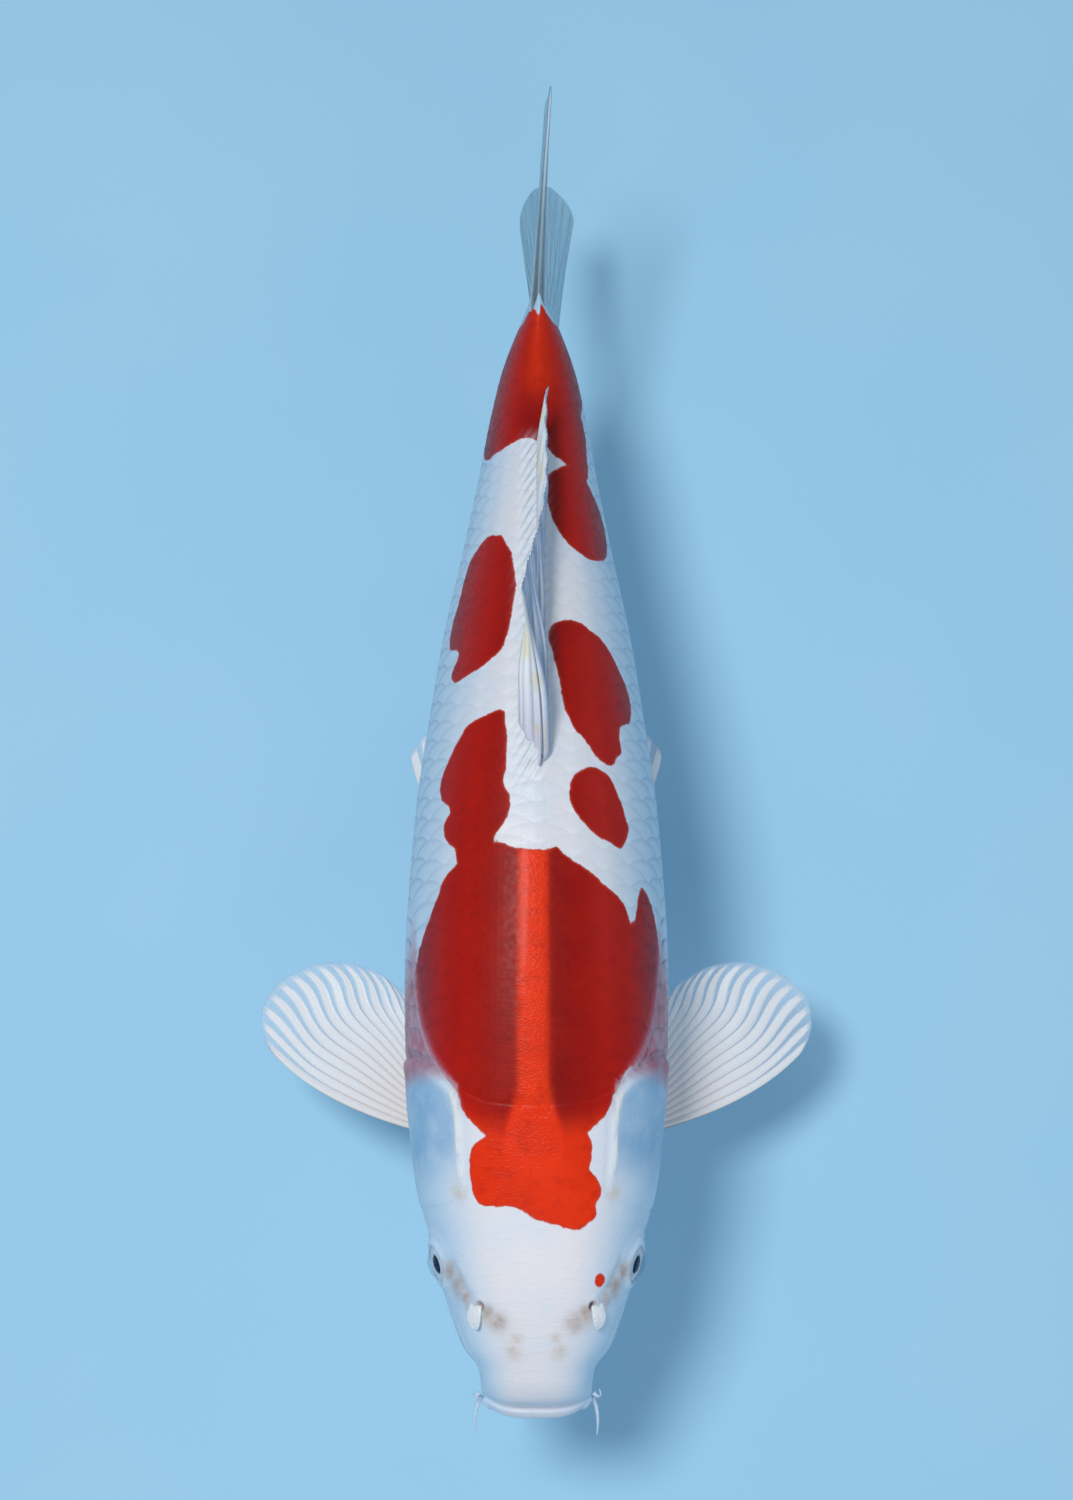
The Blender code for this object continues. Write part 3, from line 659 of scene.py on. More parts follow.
def build_eye(side_name, side, finish, cornea_finish):
    def arc(radius, angles):
        return [(radius * math.sin(t), radius * math.cos(t)) for t in np.radians(angles)]

    slot = "eye_" + side_name
    back = arc(EYE_RADIUS * 0.93, np.linspace(60, 178, 12))
    profile = LENS + IRIS + back
    values = {"radius": np.repeat(np.array(profile)[:, 0], ROUND),
              "part": np.repeat([0] * len(LENS) + [1] * len(IRIS) + [2] * len(back), ROUND)}
    hand_over(turned_piece("eyeball_" + side_name, profile, side, finish, values), slot, slot)

    dome = arc(EYE_RADIUS, np.linspace(1, CORNEA_REACH, 12))
    inner = [(r * 0.96, h * 0.96) for r, h in reversed(dome)]
    hand_over(turned_piece("cornea_" + side_name, dome + inner, side, cornea_finish), slot)


def tube(name, centres, radii, finish, sides=16):
    """A closed round strand through these centres."""
    ahead = unit(np.gradient(centres, axis=0))
    across = unit(np.cross(ahead, [0.3, 0.2, 1]))
    over = np.cross(ahead, across)
    spin = np.linspace(0, 2 * math.pi, sides, endpoint=False)[None, :, None]
    rings = centres[:, None] + radii[:, None, None] * (np.cos(spin) * across[:, None]
                                                       + np.sin(spin) * over[:, None])
    return make_mesh(name, rings, ring_faces(len(centres), sides), finish)


BARBELS = {
    # name: (root radius, tip radius, points of the left one: x, along, z), as in part.py
    "barbel_lower": (1.3, 0.3, [(26.4, 9.5, -22.5), (28.6, 5, -25), (29.4, -1.5, -29), (29, -8, -34.5)]),
    "barbel_upper": (0.85, 0.3, [(26.9, 11, -8), (29, 9.4, -8.5), (30.4, 10.4, -11), (29.8, 13.2, -13)]),
}


def build_barbels(finish):
    for base, (thick, thin, points) in BARBELS.items():
        for side_name, side in BOTH_SIDES:
            path = curve_through(np.array(points) * [side, 1, 1], 12)
            share = np.linspace(0, 1, len(path))
            radii = thick + (thin - thick) * share ** 0.8 + 0.5 * np.exp(-share / 0.07)
            radii = radii * (1 + 0.03 * np.sin(share * 95)) * np.sqrt(1.02 - share ** 12)
            name = "{}_{}".format(base, side_name)
            piece = tube(name + "_skin", path, radii, finish)
            hand_over(piece, name + "_skin", name)


FLAP_LONG, FLAP_HALF, FLAP_THICK = 10, 3.9, 0.8


def build_nostril_flaps(finish):
    """A tongue of skin stands forward from the outer edge of each nostril."""
    for side_name, side in BOTH_SIDES:
        s, t = np.meshgrid(np.linspace(-1, 1, 15), np.linspace(0, 1, 13), indexing="ij")
        wide = s * FLAP_HALF * (0.86 + 0.14 * np.sin(math.pi * t)) * np.sqrt(1 - 0.97 * t ** 5)
        station = NOSTRIL[0] + 0.8 - FLAP_LONG * t + 0.4 * wide
        turn = side * (NOSTRIL[1] + 4.5 + 1.5 * t + wide / girth(NOSTRIL[0]))
        u = row_at(station)
        tall = 3.5 * np.sin(math.pi * 0.62 * t) - 0.7 - s ** 2 * (0.4 * (1 - t) ** 2 - 0.5 * t ** 2)
        face = body(u, turn) + normals(u, turn) * tall[..., None]
        half = FLAP_THICK / 2 * (1 - 0.6 * t ** 3)[..., None] * (1.02 - s ** 8)[..., None]
        flap = solid_sheet("nostril_flap_" + side_name, face, facing(face), half, finish)
        hand_over(flap, "skin_white")


# ---- fins

def facing(face):
    """Directions square to a sheet of points."""
    return unit(np.cross(np.gradient(face, axis=0), np.gradient(face, axis=1)))


def solid_sheet(name, face, aside, half, finish, values=None):
    """A closed sheet: a grid of points thickened both ways along aside."""
    rows, columns = face.shape[:2]
    count = rows * columns
    border = border_of(rows, columns)
    after = np.roll(border, -1)
    sides = np.stack([border, border + count, after + count, after], -1)
    cells = sheet_faces(rows, columns)
    faces = np.concatenate([cells[:, ::-1], cells + count, sides]).tolist()
    values = {key: np.tile(amounts.ravel(), 2) for key, amounts in (values or {}).items()}
    return make_mesh(name, np.stack([face + aside * half, face - aside * half]), faces, finish, values)


def bow(start, handle, end, t):
    t = t[:, None]
    return start * (1 - t) ** 2 + handle * (2 * t * (1 - t)) + end * t * t


RAY_CELLS = 8  # cells across one ray and its membrane
RAY_HEIGHT = 0.34


def resampled(face, shares, moved):
    """A fan of rays read again at other shares, which differ from one step to the next."""
    result = np.empty_like(face)
    for k in range(face.shape[1]):
        for axis in range(3):
            result[:, k, axis] = np.interp(moved[:, k], shares, face[:, k, axis])
    return result


def build_fin(name, ray, rays, steps, thick, thin, finish, wave, edge=(1, 0), curl=0, fade=3.2,
              ridge=RAY_HEIGHT, notch=0.012):
    """A fin of rays with a thin membrane between them; ray(j) gives a ray's start, handle and tip.

    edge tells how stout the first and the last ray are, curl how far the rays swing as they run
    out, fade how fast the fleshy root thins, and notch how far the membrane stops short of the tips.
    """
    shares = np.linspace(0, 1, rays * RAY_CELLS + 1)
    t = np.linspace(0, 1, steps + 1)
    across = shares * rays
    from_ray = np.abs(across % 1 - 0.5) * 2  # 0 on a ray, 1 midway between two
    face = []
    for share, gap in zip(shares, from_ray):
        start, handle, tip = (np.array(p, float) for p in ray(share))
        tip = tip - (tip - handle) * notch * gap ** 2 * smooth(share, 0.02, 0.12)
        face.append(bow(start, handle, tip, t))
    j, out = np.meshgrid(shares, t, indexing="ij")
    swing = 0.9 * hump(out - 0.88, 0.13) - hump(out - 0.62, 0.15)
    face = resampled(np.array(face), shares, np.clip(j + curl * swing * np.sin(math.pi * j), 0, 1))
    face = face + facing(face) * wave(j, out, across[:, None])[..., None]
    stem = hump(from_ray[:, None], 0.55) * (1 - 0.7 * out) * smooth(1.02 - out, 0, 0.12)
    stout = edge[0] * hump(across[:, None], 0.6) + edge[1] * hump(rays - across[:, None], 0.6)
    half = 0.5 * (thin + (thick - thin) * (1 - out) ** fade) + ridge * stem
    rounding = np.sqrt(smooth(j, -0.004, 0.012) * smooth(1 - j, -0.004, 0.012)) * 0.85 + 0.15
    half = (half + 0.8 * stout * (1 - 0.4 * out)) * rounding * (0.25 + 0.75 * smooth(1 - out, 0, 0.03))
    values = {"across": np.broadcast_to(across[:, None], out.shape), "out": out,
              "lead": np.broadcast_to(np.minimum(stout, 1), out.shape)}
    piece = solid_sheet(name + "_rays", face, facing(face), half[..., None], finish, values)
    hand_over(piece, name + "_skin", name)


PAIRED_FINS = {
    "pectoral_fin": dict(hub=(58, 148, -38), root_front=(50.5, 136.5, -39.5),
                         root_rear=(48.5, 163, -44), droop=22, reach=107.5, first=23,
                         last=82, front_loss=16, rear_loss=49, lead=(14, 76),
                         rays=15, steps=48, thick=6, thin=0.45, ripple=0.8, curl=0.036),
    "pelvic_fin": dict(hub=(18, 278, -70), root_front=(20, 270, -67),
                       root_rear=(15, 285, -68.5), droop=30, reach=93, first=51,
                       last=92, front_loss=3, rear_loss=41, lead=(38, 88),
                       rays=9, steps=36, thick=4, thin=0.42, ripple=0.5, curl=0.01),
}
FULL_REACH_AT = 0.24


def paired_ray(shape, side, j):
    droop = math.radians(shape["droop"])

    def in_plane(length, degrees):
        out = length * math.cos(math.radians(degrees))
        back = length * math.sin(math.radians(degrees))
        return Vector((out * math.cos(droop), back, -out * math.sin(droop)))

    length = shape["reach"]
    length -= shape["front_loss"] * max(0, 1 - j / FULL_REACH_AT) ** 2
    length -= shape["rear_loss"] * max(0, (j - FULL_REACH_AT) / (1 - FULL_REACH_AT)) ** 1.6
    angle = shape["first"] + (shape["last"] - shape["first"]) * j
    lead = shape["lead"][0] + (shape["lead"][1] - shape["lead"][0]) * j
    start = Vector(shape["root_front"]).lerp(Vector(shape["root_rear"]), j)
    tip = Vector(shape["hub"]) + in_plane(length, angle)
    handle = start + in_plane((0.62 - 0.1 * j) * (tip - start).length, lead)
    start -= (handle - start).normalized() * 5  # the ray begins inside the body
    return [np.array((side * p.x, p.y, p.z)) for p in (start, handle, tip)]


def build_paired_fins(finish):
    for base, shape in PAIRED_FINS.items():
        for side_name, side in BOTH_SIDES:
            def ray(j):
                return paired_ray(shape, side, j)

            def wave(j, out, across):
                ruffle = np.sin(j * 17 + out * 3 + side) * 0.6 + np.sin(j * 41 + 2 * out)
                return shape["ripple"] * ruffle * out ** 1.5 * 0.6

            build_fin("{}_{}".format(base, side_name), ray, shape["rays"], shape["steps"],
                      shape["thick"], shape["thin"], finish, wave, curl=shape["curl"])


FIN_DEPTH = 3


def fin_foot(base, column, sunk):
    """Where a ray starts on the back (2) or the belly (3), sunk into the flesh."""
    return Vector((sway(base), base, catmull(BODY_RINGS, row_at(base))[column] - sunk))


def ripples(height, waves):
    def wave(j, out, across):
        return height * np.sin(j * waves + 2 * out) * out ** 1.5
    return wave


def build_dorsal(finish):
    """Half folded: the front rays lie back in pleats, and the rear of the blade leans to the left."""
    def ray(j):
        start = fin_foot(286 + 179 * j, 2, FIN_DEPTH)
        top = Vector((-6.5, 366, 127)).lerp(Vector((5.5, 493, 63)), j)
        top.x += 5 * math.sin(math.pi * j) ** 2
        top.z -= 9 * math.sin(math.pi * j)
        handle = start.lerp(top, 0.5) + Vector((4 * (1 - j) ** 2, -6 * (1 - j), 5))
        return start, handle, top

    def wave(j, out, across):
        """Broad folds and fine pleats, loose toward the front."""
        loose = (1 - smooth(j, 0.05, 0.55)) * smooth(out, 0, 0.14) * (1 - smooth(out, 0.4, 0.95))
        fold = loose * (5.5 * np.sin(0.95 * across + 0.4) - 1)
        pleat = (0.3 + 0.9 * loose) * np.cos(2 * math.pi * across) * smooth(out, 0, 0.12)
        return fold + pleat + 0.4 * np.sin(j * 55 + 3 * out) * out

    build_fin("dorsal_fin", ray, 44, 52, 1.5, 0.45, finish, wave, edge=(0.3, 0), fade=2,
              ridge=0.55, notch=0.03)


def build_anal(finish):
    def ray(j):
        start = fin_foot(418 + 42 * j, 3, -FIN_DEPTH)
        tip = Vector((3, 472 + 24 * j - 7 * j * j, -112 + 48 * j))
        tip += Vector((0, -9, 2)) * max(0, 1 - 5 * j) ** 2
        handle = start.lerp(tip, 0.5) + Vector((0, -5, -5))
        return start, handle, tip

    build_fin("anal_fin", ray, 8, 34, 5, 0.42, finish, ripples(0.7, 16), edge=(1.3, 0))


TAIL_ROOT = 556
TAIL_FORK, UPPER_LOBE, LOWER_LOBE = 609, 46, 50


def build_tail_fin(finish):
    """Two lobes: the upper one stands on edge and the lower one is turned to the left."""
    def margin(j, length):
        return TAIL_FORK + length * (1 - (1 - j) ** 2.4) - 6 * j ** 8

    def upper(j):
        start = Vector((sway(TAIL_ROOT) - 0.9, TAIL_ROOT - 10 * j * j, 0.4 + 31 * j))
        tip = Vector((2.8 + 5 * j * j, margin(j, UPPER_LOBE), 8 + 68 * j))
        handle = start.lerp(tip, 0.5) + Vector((-1.2, 0, 3 * j * j))
        return start, handle, tip

    def lower(j):
        depth = -0.4 - 31 * j
        start = Vector((sway(TAIL_ROOT) + float(twist(TAIL_ROOT, depth)), TAIL_ROOT - 10 * j * j, depth))
        tip = Vector((-9 + 31.4 * j ** 1.7, margin(j, LOWER_LOBE) - 6 * j ** 5, -8 - 60 * j))
        tip += Vector((-2.2, -2.5, 0)) * j ** 12
        handle = start.lerp(tip, 0.5) + Vector((-1.5 * (1 - j), 0, -3 * j * j))
        return start, handle, tip

    for name, ray, thick, thin, stout in (("tail_fin_upper", upper, 6, 0.5, 1.4),
                                          ("tail_fin_lower", lower, 7, 0.45, 0.2)):
        build_fin(name, ray, 11, 44, thick, thin, finish, ripples(0.5, 19), edge=(0, stout), fade=1.8,
                  notch=0.004)


# ---- materials

class Finish:
    """A material and short ways to add nodes to it."""

    def __init__(self, name, **settings):
        self.material = bpy.data.materials.new(name)
        self.material.use_nodes = True
        self.tree = self.material.node_tree
        self.shader = self.tree.nodes["Principled BSDF"]
        self.use(**settings)

    def use(self, **sources):
        """Set or link the shader's own sockets."""
        for key, source in sources.items():
            self.join(source, self.shader.inputs[key.replace("_", " ")])
        return self.material

    def join(self, source, socket):
        if isinstance(source, bpy.types.NodeSocket):
            self.tree.links.new(source, socket)
        elif source is not None:
            socket.default_value = source

    def node(self, kind, *sources, **fields):
        """A node with its fields set and its first sockets filled in order."""
        made = self.tree.nodes.new(kind)
        for key, value in fields.items():
            setattr(made, key, value)
        for socket, source in zip(made.inputs, sources):
            self.join(source, socket)
        return made

    def value(self, name):
        return self.node("ShaderNodeAttribute", attribute_name=name).outputs["Fac"]

    def calc(self, operation, a, b=0):
        return self.node("ShaderNodeMath", a, b, operation=operation).outputs[0]

    def times(self, a, b):
        return self.calc("MULTIPLY", a, b)

    def plus(self, a, b):
        return self.calc("ADD", a, b)

    def slope(self, amount, low, high, to_low=0, to_high=1):
        return self.node("ShaderNodeMapRange", amount, low, high, to_low, to_high,
                         interpolation_type="SMOOTHSTEP").outputs[0]

    def mix(self, share, first, second, way="MIX"):
        made = self.node("ShaderNodeMix", share, data_type="RGBA", blend_type=way)
        for colour, socket in ((first, made.inputs[6]), (second, made.inputs[7])):
            self.join((*colour, 1) if isinstance(colour, tuple) else colour, socket)
        return made.outputs[2]

    def lay(self, under, share, amount, colour):
        """A colour laid over another by a share, or by a named value, times an amount."""
        share = self.value(share) if isinstance(share, str) else share
        return self.mix(self.times(share, amount), under, colour)

    def place(self, stretch=(1, 1, 1)):
        """The piece's own coordinates in millimetres, stretched."""
        spot = self.node("ShaderNodeTexCoord").outputs["Object"]
        return self.node("ShaderNodeMapping", spot, None, None, [s / MM for s in stretch]).outputs[0]

    def noise(self, size, detail=3, rough=0.5, stretch=(1, 1, 1)):
        """Even noise round 0.5 whose lumps are about size millimetres."""
        return self.node("ShaderNodeTexNoise", self.place(stretch), None, 1 / size, detail,
                         rough).outputs["Fac"]

    def cells(self, size, stretch):
        return self.node("ShaderNodeTexVoronoi", self.place(stretch), None, 1 / size).outputs["Distance"]

    def bump(self, height, depth, strength=1, under=None):
        """Depth is the bump's height in millimetres."""
        made = self.node("ShaderNodeBump", strength, depth * MM)
        self.join(height, made.inputs["Height"])
        self.join(under, made.inputs["Normal"])
        return made.outputs[0]


WHITE_TOP = (0.88, 0.82, 0.84)
# Painted reflection: the flanks' blue stands for blue light from the surroundings falling on the sides.
WHITE_FLANK_REFLECTED_BLUE = (0.58, 0.73, 0.88)
WHITE_BELLY = (0.8, 0.84, 0.88)
ORANGE = (0.96, 0.038, 0.001)
CRIMSON = (0.29, 0.003, 0.001)
SCARLET = (0.46, 0.006, 0.001)
RED_EDGE = (0.58, 0.05, 0.02)
# The gill cover's pearly blues, which hold painted blue reflection of the surroundings.
PEARL_DEEP, PEARL_PALE = (0.2, 0.42, 0.66), (0.4, 0.58, 0.76)


def white_skin(f, low, band, blotch, fine):
    """White, bluer down the flanks, where blue light from the surroundings is painted in as reflection."""
    white = f.mix(f.slope(low, 0.07, 0.34), WHITE_TOP, WHITE_FLANK_REFLECTED_BLUE)
    white = f.mix(f.slope(low, 0.62, 0.9), white, WHITE_BELLY)
    white = f.mix(f.slope(band, 0.2, 0.8), white, (0.86, 0.81, 0.85))
    white = f.lay(white, "stalk", 0.9, (0.3, 0.53, 0.68))
    white = f.mix(f.slope(blotch, 0.35, 0.75, 0, 0.3), white, (0.66, 0.77, 0.9))
    return f.lay(white, f.slope(fine, 0.45, 0.8), 0.1, (0.55, 0.62, 0.78))


def red_skin(f, low, orange_and_highlight, blotch):
    """Crimson beside an orange band and crown, partly painted highlight on the flat top, and purple low on
    the flanks.
    """
    red = f.mix(f.slope(low, 0.04, 0.16), CRIMSON, SCARLET)
    red = f.mix(f.slope(low, 0.2, 0.34), red, (0.27, 0.01, 0.018))
    red = f.mix(f.slope(orange_and_highlight, 0, 1), red, ORANGE)
    red = f.mix(f.slope(blotch, 0.3, 0.8, 0, 0.3), red, (0.56, 0.012, 0.001))
    return f.lay(red, f.slope(f.noise(7), 0.5, 0.75), 0.25, (0.3, 0.003, 0.001))


def scale_relief(f, under):
    """Fine rays and growth rings on each scale."""
    across, out = f.value("across"), f.value("out")
    turn = f.calc("ARCTAN2", across, f.plus(out, 0.25))
    fan = f.times(f.calc("SINE", f.times(turn, 34)), f.slope(out, 0.3, 0.8))
    rings = f.times(f.calc("SINE", f.times(out, 46)), 0.5)
    return f.bump(f.plus(fan, rings), 0.02, 0.5, under)


def striations(f):
    """Slanting ridges on the skin at the foot of the dorsal fin, from -1 to 1."""
    split = f.node("ShaderNodeSeparateXYZ", f.place())
    slant = f.plus(split.outputs[1], f.times(split.outputs[0], -1.7))
    return f.calc("SINE", f.plus(f.times(slant, 0.85), f.times(f.noise(16, 2), 5)))


def skin_relief(f, inside, fine):
    """Wrinkles on the band and the crown, pores, slack folds, and the fibres at the dorsal fin's foot."""
    wrinkle = f.cells(1.35, (0.8, 1.5, 1))
    ruffle = f.noise(3.4, 2, 0.5, (0.45, 1.7, 1))
    crown = f.times(f.value("head"), f.slope(inside, 0, 2, 0, 0.6))
    relief_map = f.bump(f.times(wrinkle, f.plus(f.slope(f.value("band"), 0.1, 0.8), crown)), 0.24, 0.9)
    relief_map = f.bump(f.times(f.slope(ruffle, 0.5, 0.62), f.value("head")), 0.1, 0.7, relief_map)
    relief_map = f.bump(fine, 0.03, 0.7, relief_map)
    relief_map = f.bump(f.noise(6), 0.12, 0.5, relief_map)
    return f.bump(f.times(striations(f), f.value("sheath")), 0.45, 1, relief_map)


def fish_skin(name, scaled):
    """Skin with its markings, for the body and, with scaled set, for the scales."""
    f = Finish(name, Subsurface_Weight=0.12, Subsurface_Scale=0.004, Subsurface_Radius=(1, 0.5, 0.4),
               Specular_IOR_Level=0.16, Coat_Weight=0.04, Coat_Roughness=0.15)
    low, band, head = f.value("low"), f.value("band"), f.value("head")
    blotch, fine = f.noise(26, 2), f.noise(1.6, 3, 0.6)
    # Partly painted highlight: the band, the crown and the stalk patch are turned orange.
    orange_and_highlight = f.plus(band, f.times(head, 0.8))

    wander = f.times(f.plus(f.noise(4, 3, 0.6), -0.5), 2)
    inside = f.plus(f.value("red"), wander)
    red = f.mix(f.slope(inside, 0.3, 1.8, 0.5, 0), red_skin(f, low, orange_and_highlight, blotch), RED_EDGE)
    colour = f.mix(f.slope(inside, -0.4, 0.45), white_skin(f, low, band, blotch, fine), red)

    # Painted light on the gill cover: its blues are painted reflection on the pearly skin, and the fine
    # pale flecks are painted glints.
    pearl_reflection_and_glints = f.mix(f.slope(f.noise(16), 0.3, 0.75), PEARL_DEEP, PEARL_PALE)
    pearl_reflection_and_glints = f.mix(f.slope(f.noise(1.5, 2, 0.7), 0.62, 0.72, 0, 0.5), pearl_reflection_and_glints, (0.72, 0.8, 0.88))
    colour = f.lay(colour, "pearl", 0.75, pearl_reflection_and_glints)
    streak = f.slope(f.noise(4, 3, 0.6, (1, 0.3, 1)), 0.35, 0.6)
    colour = f.lay(colour, f.times(f.value("ridge_line"), streak), 0.9, (0.9, 0.88, 0.82))
    flush = f.times(f.value("blush"), f.slope(f.noise(9), 0.3, 0.65, 0.75, 1))
    colour = f.lay(colour, flush, 0.9, (0.46, 0.1, 0.14))
    # Painted shade: a dark purple-grey line in the groove along the gill cover's edge.
    colour = f.lay(colour, "gill_edge_shade", 0.45, (0.34, 0.26, 0.36))
    # Painted highlight: a paler line along the raised fold behind the gill cover.
    colour = f.lay(colour, "fold_highlight", 0.55, (0.62, 0.48, 0.58))
    # The pale foot of the dorsal fin, with painted highlight on its slanting ridges: paler on them than in
    # the grooves.
    colour = f.lay(colour, "sheath", f.slope(striations(f), -1, 1, 0.2, 0.6), (0.76, 0.85, 0.93))
    shade = f.times(f.value("shade"), f.slope(f.noise(5, 3, 0.6), 0.25, 0.7, 0.5, 1))
    colour = f.lay(colour, shade, 0.85, (0.38, 0.26, 0.19))
    mark = f.times(f.value("marks"), f.slope(f.noise(1.8, 3, 0.6), 0.3, 0.7, 0.4, 1))
    colour = f.lay(colour, mark, 0.6, (0.56, 0.4, 0.2))
    # Painted shade: dark brown in each nostril's pit.
    colour = f.lay(colour, "nostril", 0.85, (0.26, 0.13, 0.08))
    # Painted shade: the lips at the front of the mouth are tinted dull blue-grey.
    colour = f.lay(colour, "lips", 0.6, (0.56, 0.62, 0.74))

    relief_map = skin_relief(f, inside, fine)
    if scaled:
        relief_map = scale_relief(f, relief_map)
        # Painted shade along each scale's rear edge, stronger down the flanks, and partly the scales' own
        # faint net.
        rim = f.times(f.slope(f.value("out"), 0.78, 1), f.slope(low, 0.15, 0.4, 0.05, 0.4))
        colour = f.mix(rim, colour, (0.3, 0.4, 0.55), "MULTIPLY")
    rough = f.slope(f.noise(3, 2), 0.3, 0.7, 0.36, 0.5)
    return f.use(Base_Color=colour, Normal=relief_map, Roughness=rough)


def fin_skin(name, ray_colour, web_colour, web_alpha, stems, crease, lead_colour=(0.92, 0.88, 0.84),
             tint=None, body_alpha=0.97, clear_from=0.45):
    """Milky rays in a clear membrane, with creases between the rays near the root, darkened there with
    painted shade.

    stems gives the rays' width near the root and near the margin, as a share of their spacing,
    and clear_from how far out the membrane turns clear.
    """
    f = Finish(name, Roughness=0.4, Subsurface_Weight=0.1, Subsurface_Scale=0.002,
               Specular_IOR_Level=0.3, Coat_Weight=0.08, Coat_Roughness=0.18)
    across, out, lead = f.value("across"), f.value("out"), f.value("lead")
    from_ray = f.times(f.calc("ABSOLUTE", f.plus(f.calc("FRACT", across), -0.5)), 2)
    streaks = f.noise(1.4, 3, 0.6, (1, 0.45, 1))
    width = f.slope(out, 0.4, 1, *stems)
    width = f.times(width, f.slope(out, 0.9, 1.02, 1, 0.5))
    inside = f.calc("SUBTRACT", width, f.plus(from_ray, f.times(f.plus(streaks, -0.5), 0.15)))
    stem = f.calc("MAXIMUM", f.slope(inside, -0.35, 0.22), f.slope(lead, 0.15, 0.5))
    fibres = f.calc("COSINE", f.times(f.calc("FRACT", across), 18.85))
    lit = f.plus(f.times(fibres, 0.5), 0.5)

    ray = f.lay(ray_colour, lit, 0.35, (0.93, 0.93, 0.93))
    ray = f.mix(f.slope(f.noise(14, 2), 0.45, 0.62, 0, 0.7), ray, tint or ray_colour)
    ray = f.mix(f.slope(out, 0, 0.55, 0.55, 0), ray, crease)
    ray = f.lay(ray, f.slope(lead, 0.3, 0.9), 0.6, lead_colour)
    # Painted shade in the creases between the rays near the root.
    fold = f.times(f.slope(from_ray, 0.72, 0.98), f.slope(out, 0.35, 0.8, 0.8, 0))
    ray = f.mix(fold, ray, tuple(0.62 * part for part in crease))
    clear = f.times(f.calc("SUBTRACT", 1, stem), f.slope(out, clear_from - 0.18, clear_from + 0.12))
    clear = f.calc("MAXIMUM", clear, f.slope(out, 0.94, 1, 0, 0.9))
    colour = f.mix(clear, ray, web_colour)

    joints = f.calc("SINE", f.times(out, 150))
    relief_map = f.bump(f.times(joints, stem), 0.04, 0.5)
    relief_map = f.bump(f.plus(f.times(fibres, 0.4), f.times(from_ray, -1)), 0.22, 0.7, relief_map)
    relief_map = f.bump(streaks, 0.1, 0.6, relief_map)
    return f.use(Base_Color=colour, Normal=relief_map, Roughness=f.slope(streaks, 0.3, 0.7, 0.34, 0.46),
                 Alpha=f.slope(clear, 0, 1, body_alpha, web_alpha))


def eye_finish(name):
    """Black lens, pale iris with darker flecks, dull white behind."""
    f = Finish(name, Roughness=0.3, Specular_IOR_Level=0.1)
    part, radius = f.value("part"), f.value("radius")
    flecks = f.noise(0.9, 4, 0.7)
    iris = f.mix(f.slope(flecks, 0.35, 0.7), (0.92, 0.95, 0.98), (0.7, 0.8, 0.9))
    iris = f.mix(f.slope(radius, 4.6, 5.5, 0.6, 0), iris, (0.7, 0.7, 0.62))
    iris = f.mix(f.slope(radius, 6.8, 8.6, 0, 0.3), iris, (0.56, 0.68, 0.8))
    colour = f.mix(f.slope(part, 0.3, 0.7), (0.001, 0.006, 0.028), iris)
    colour = f.mix(f.slope(part, 1.3, 1.8), colour, (0.5, 0.62, 0.74))
    return f.use(Base_Color=colour, Normal=f.bump(flecks, 0.08, 0.5))


def cornea_finish(name):
    f = Finish(name, Roughness=0.03, IOR=1.34, Specular_IOR_Level=0.3)
    haze = f.slope(f.noise(5, 2), 0.3, 0.7, 0.06, 0.09)
    return f.use(Base_Color=f.mix(haze, (0.04, 0.12, 0.3), (0.1, 0.22, 0.42)), Alpha=haze,
                 Normal=f.bump(haze, 0.02, 0.3))


def grained(name, grain, tones, depth, gloss, broad=None, start=0.3, strength=0.5, **settings):
    """Two near tones, a fine grain and uneven gloss; broad gives the tones a coarser noise."""
    f = Finish(name, **settings)
    fine = f.noise(*grain)
    colour = f.mix(f.slope(f.noise(*broad) if broad else fine, start, 0.7), *tones)
    return f.use(Base_Color=colour, Normal=f.bump(fine, depth, strength),
                 Roughness=f.slope(fine, 0.3, 0.7, *gloss))


def soft_skin(name, *tones):
    return grained(name, (1.2, 3, 0.6), tones, 0.12, (0.32, 0.48), start=0.35, strength=0.6,
                   Subsurface_Weight=0.2, Subsurface_Scale=0.002, Specular_IOR_Level=0.3,
                   Coat_Weight=0.1, Coat_Roughness=0.15)


def dress_stand():
    board = grained("stand_satin", (0.8, 4, 0.65), ((0.78, 0.8, 0.82), (0.72, 0.75, 0.78)), 0.03,
                    (0.38, 0.52), broad=(40, 2), strength=0.6)
    steel = grained("rod_steel", (0.5, 4, 0.7, (1, 1, 14)), ((0.6, 0.61, 0.63), (0.5, 0.51, 0.53)), 0.02,
                    (0.22, 0.38), Metallic=1)
    for name, finish in (("stand_base", board), ("stand_rod_front", steel), ("stand_rod_rear", steel)):
        for place in frame["nodes"][name].material_slots:
            place.material = finish


# ---- stage, light and camera

CAMERA_DISTANCE, CAMERA_TILT = 1400, 15
CAMERA_AIM = (0, 323.61, 0)
LENS_LENGTH, SENSOR = 67.32, 36


def build_stage():
    f = Finish("floor_paint", Roughness=0.8)
    broad = f.noise(180, 2)
    colour = f.mix(f.slope(broad, 0.3, 0.7, 0, 0.5), (0.38, 0.66, 0.86), (0.42, 0.69, 0.88))
    finish = f.use(Base_Color=colour, Normal=f.bump(f.noise(2), 0.05, 0.4))
    reach = 6
    mesh = bpy.data.meshes.new("floor")
    mesh.from_pydata([(-reach, -reach, 0), (reach, -reach, 0), (reach, reach, 0), (-reach, reach, 0)],
                     [], [(0, 1, 2, 3)])
    mesh.materials.append(finish)
    floor = in_scene("floor", mesh)


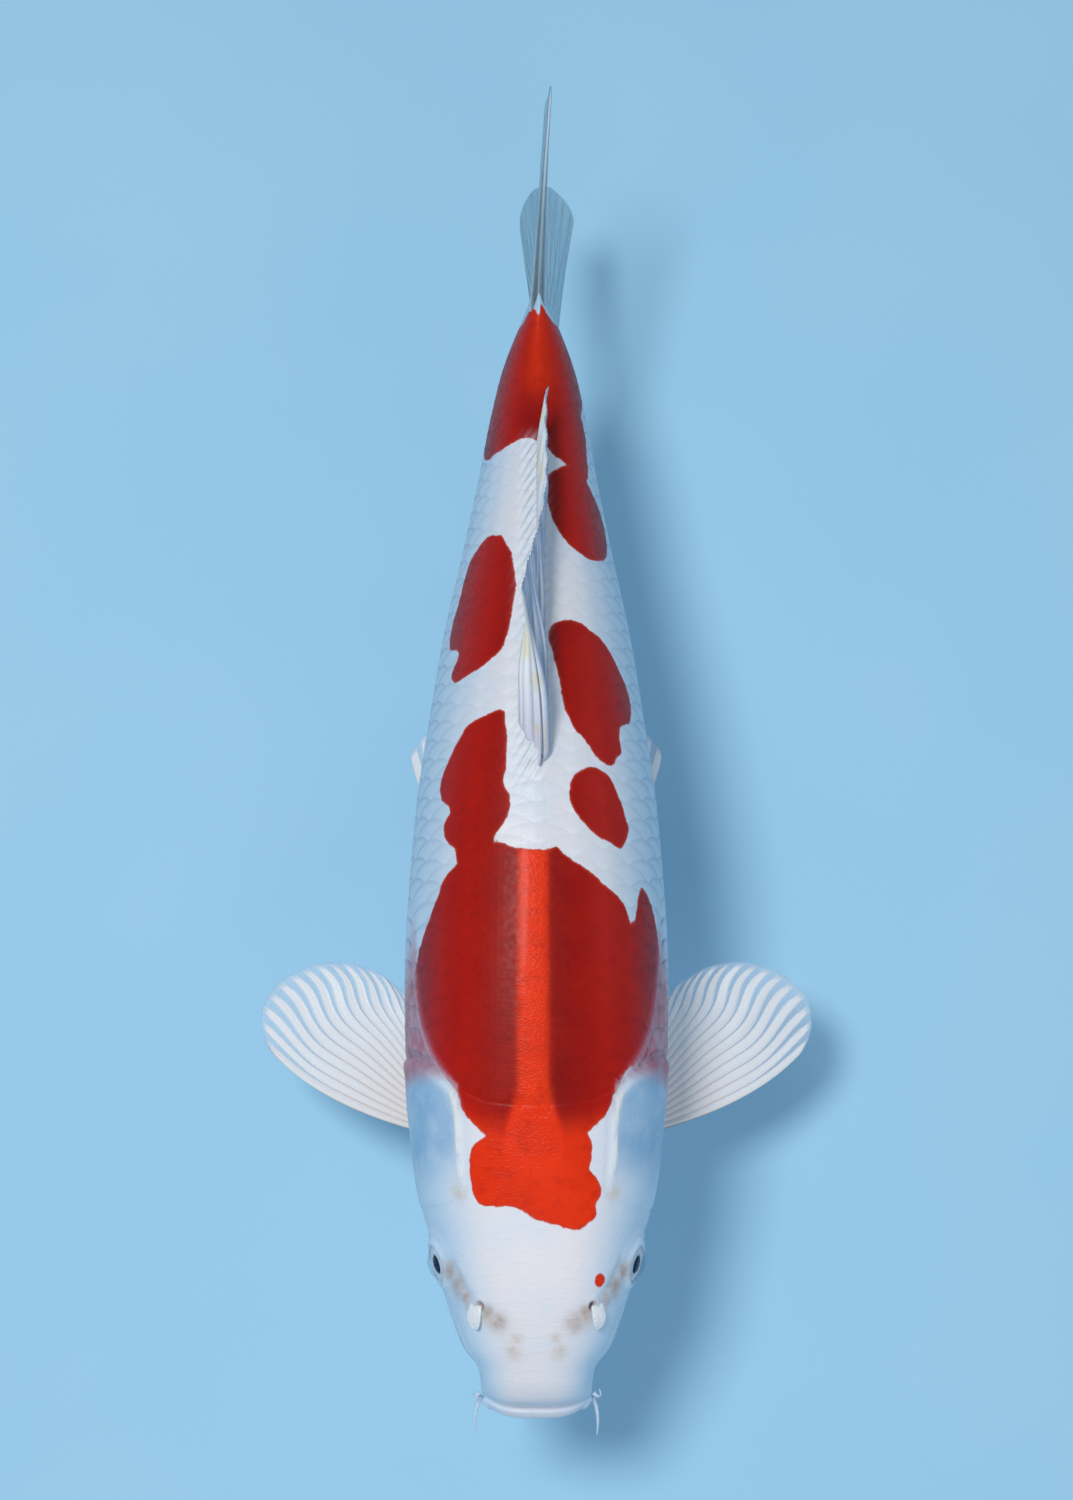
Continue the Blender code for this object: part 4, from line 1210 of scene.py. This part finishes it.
def lamp(name, place, aim, size, power, colour):
    light = bpy.data.lights.new(name, "AREA")
    light.shape = "DISK"
    light.size, light.energy, light.color = size, power, colour
    thing = in_scene(name, light)
    thing.location = place
    thing.rotation_euler = (Vector(aim) - Vector(place)).to_track_quat("-Z", "Y").to_euler()


def build_light():
    lamp("key", (-0.55, 0.05, 2.3), (0, 0.07, 0.1), 0.55, 28, (1, 0.97, 0.93))
    lamp("fill_front", (0.4, -1.9, 1.3), (0, -0.1, 0.15), 1.4, 6.5, (1, 0.96, 0.92))
    lamp("fill_side", (1.9, 0.5, 1), (0, 0, 0.15), 1.4, 3.5, (0.94, 0.97, 1))
    world_light = bpy.data.worlds.new("studio")
    world_light.use_nodes = True
    back = world_light.node_tree.nodes["Background"]
    back.inputs["Color"].default_value = (0.55, 0.79, 1, 1)
    back.inputs["Strength"].default_value = 0.39
    bpy.context.scene.world = world_light
    bpy.context.scene.view_settings.view_transform = "Standard"


def build_camera():
    camera = in_scene("camera", bpy.data.cameras.new("camera"))
    tilt = math.radians(CAMERA_TILT)
    back = np.array([0, -math.sin(tilt), math.cos(tilt)]) * CAMERA_DISTANCE
    camera.location = world(np.array(CAMERA_AIM) + back)
    camera.rotation_euler = (tilt, 0, 0)
    camera.data.lens = LENS_LENGTH
    camera.data.sensor_width = SENSOR
    camera.data.clip_end = 20
    bpy.context.scene.camera = camera


# ---- the whole model

def main():
    build_camera()
    build_stage()
    build_light()
    build_skin(fish_skin("koi_skin", scaled=False))
    scaled = fish_skin("koi_scales", scaled=True)
    half = SCALE_ROWS // 2
    build_scales("scales_left", range(0, half), scaled)
    build_scales("scales_right", range(-half, 0), scaled)
    eye, cornea = eye_finish("eye"), cornea_finish("cornea")
    build_eye("left", 1, eye, cornea)
    build_eye("right", -1, eye, cornea)
    build_nostril_flaps(soft_skin("flap_skin", (0.82, 0.84, 0.88), (0.74, 0.74, 0.76)))
    build_barbels(soft_skin("barbel_skin", (0.66, 0.78, 0.88), (0.56, 0.66, 0.8)))
    cream, pink = (0.88, 0.86, 0.88), (0.96, 0.74, 0.66)
    build_paired_fins(fin_skin("paired_fin_skin", cream, (0.6, 0.74, 0.9), 0.34, (1, 0.5), pink))
    # The dorsal fin's dark blue-grey web is partly painted shade between its folded pleats.
    build_dorsal(fin_skin("dorsal_skin", (0.84, 0.84, 0.88), (0.36, 0.46, 0.66), 0.88, (0.6, 0.45),
                          (0.46, 0.44, 0.6), lead_colour=(0.9, 0.84, 0.74), tint=(0.86, 0.76, 0.52),
                          clear_from=0.12))
    build_anal(fin_skin("anal_skin", (0.84, 0.84, 0.88), (0.62, 0.8, 0.92), 0.3, (0.9, 0.45), pink))
    build_tail_fin(fin_skin("tail_skin", (0.24, 0.44, 0.56), (0.34, 0.58, 0.7), 0.5, (0.3, 0.16),
                            (0.5, 0.66, 0.76), lead_colour=(0.76, 0.86, 0.93), body_alpha=0.75,
                            clear_from=0.15))
    dress_stand()


main()
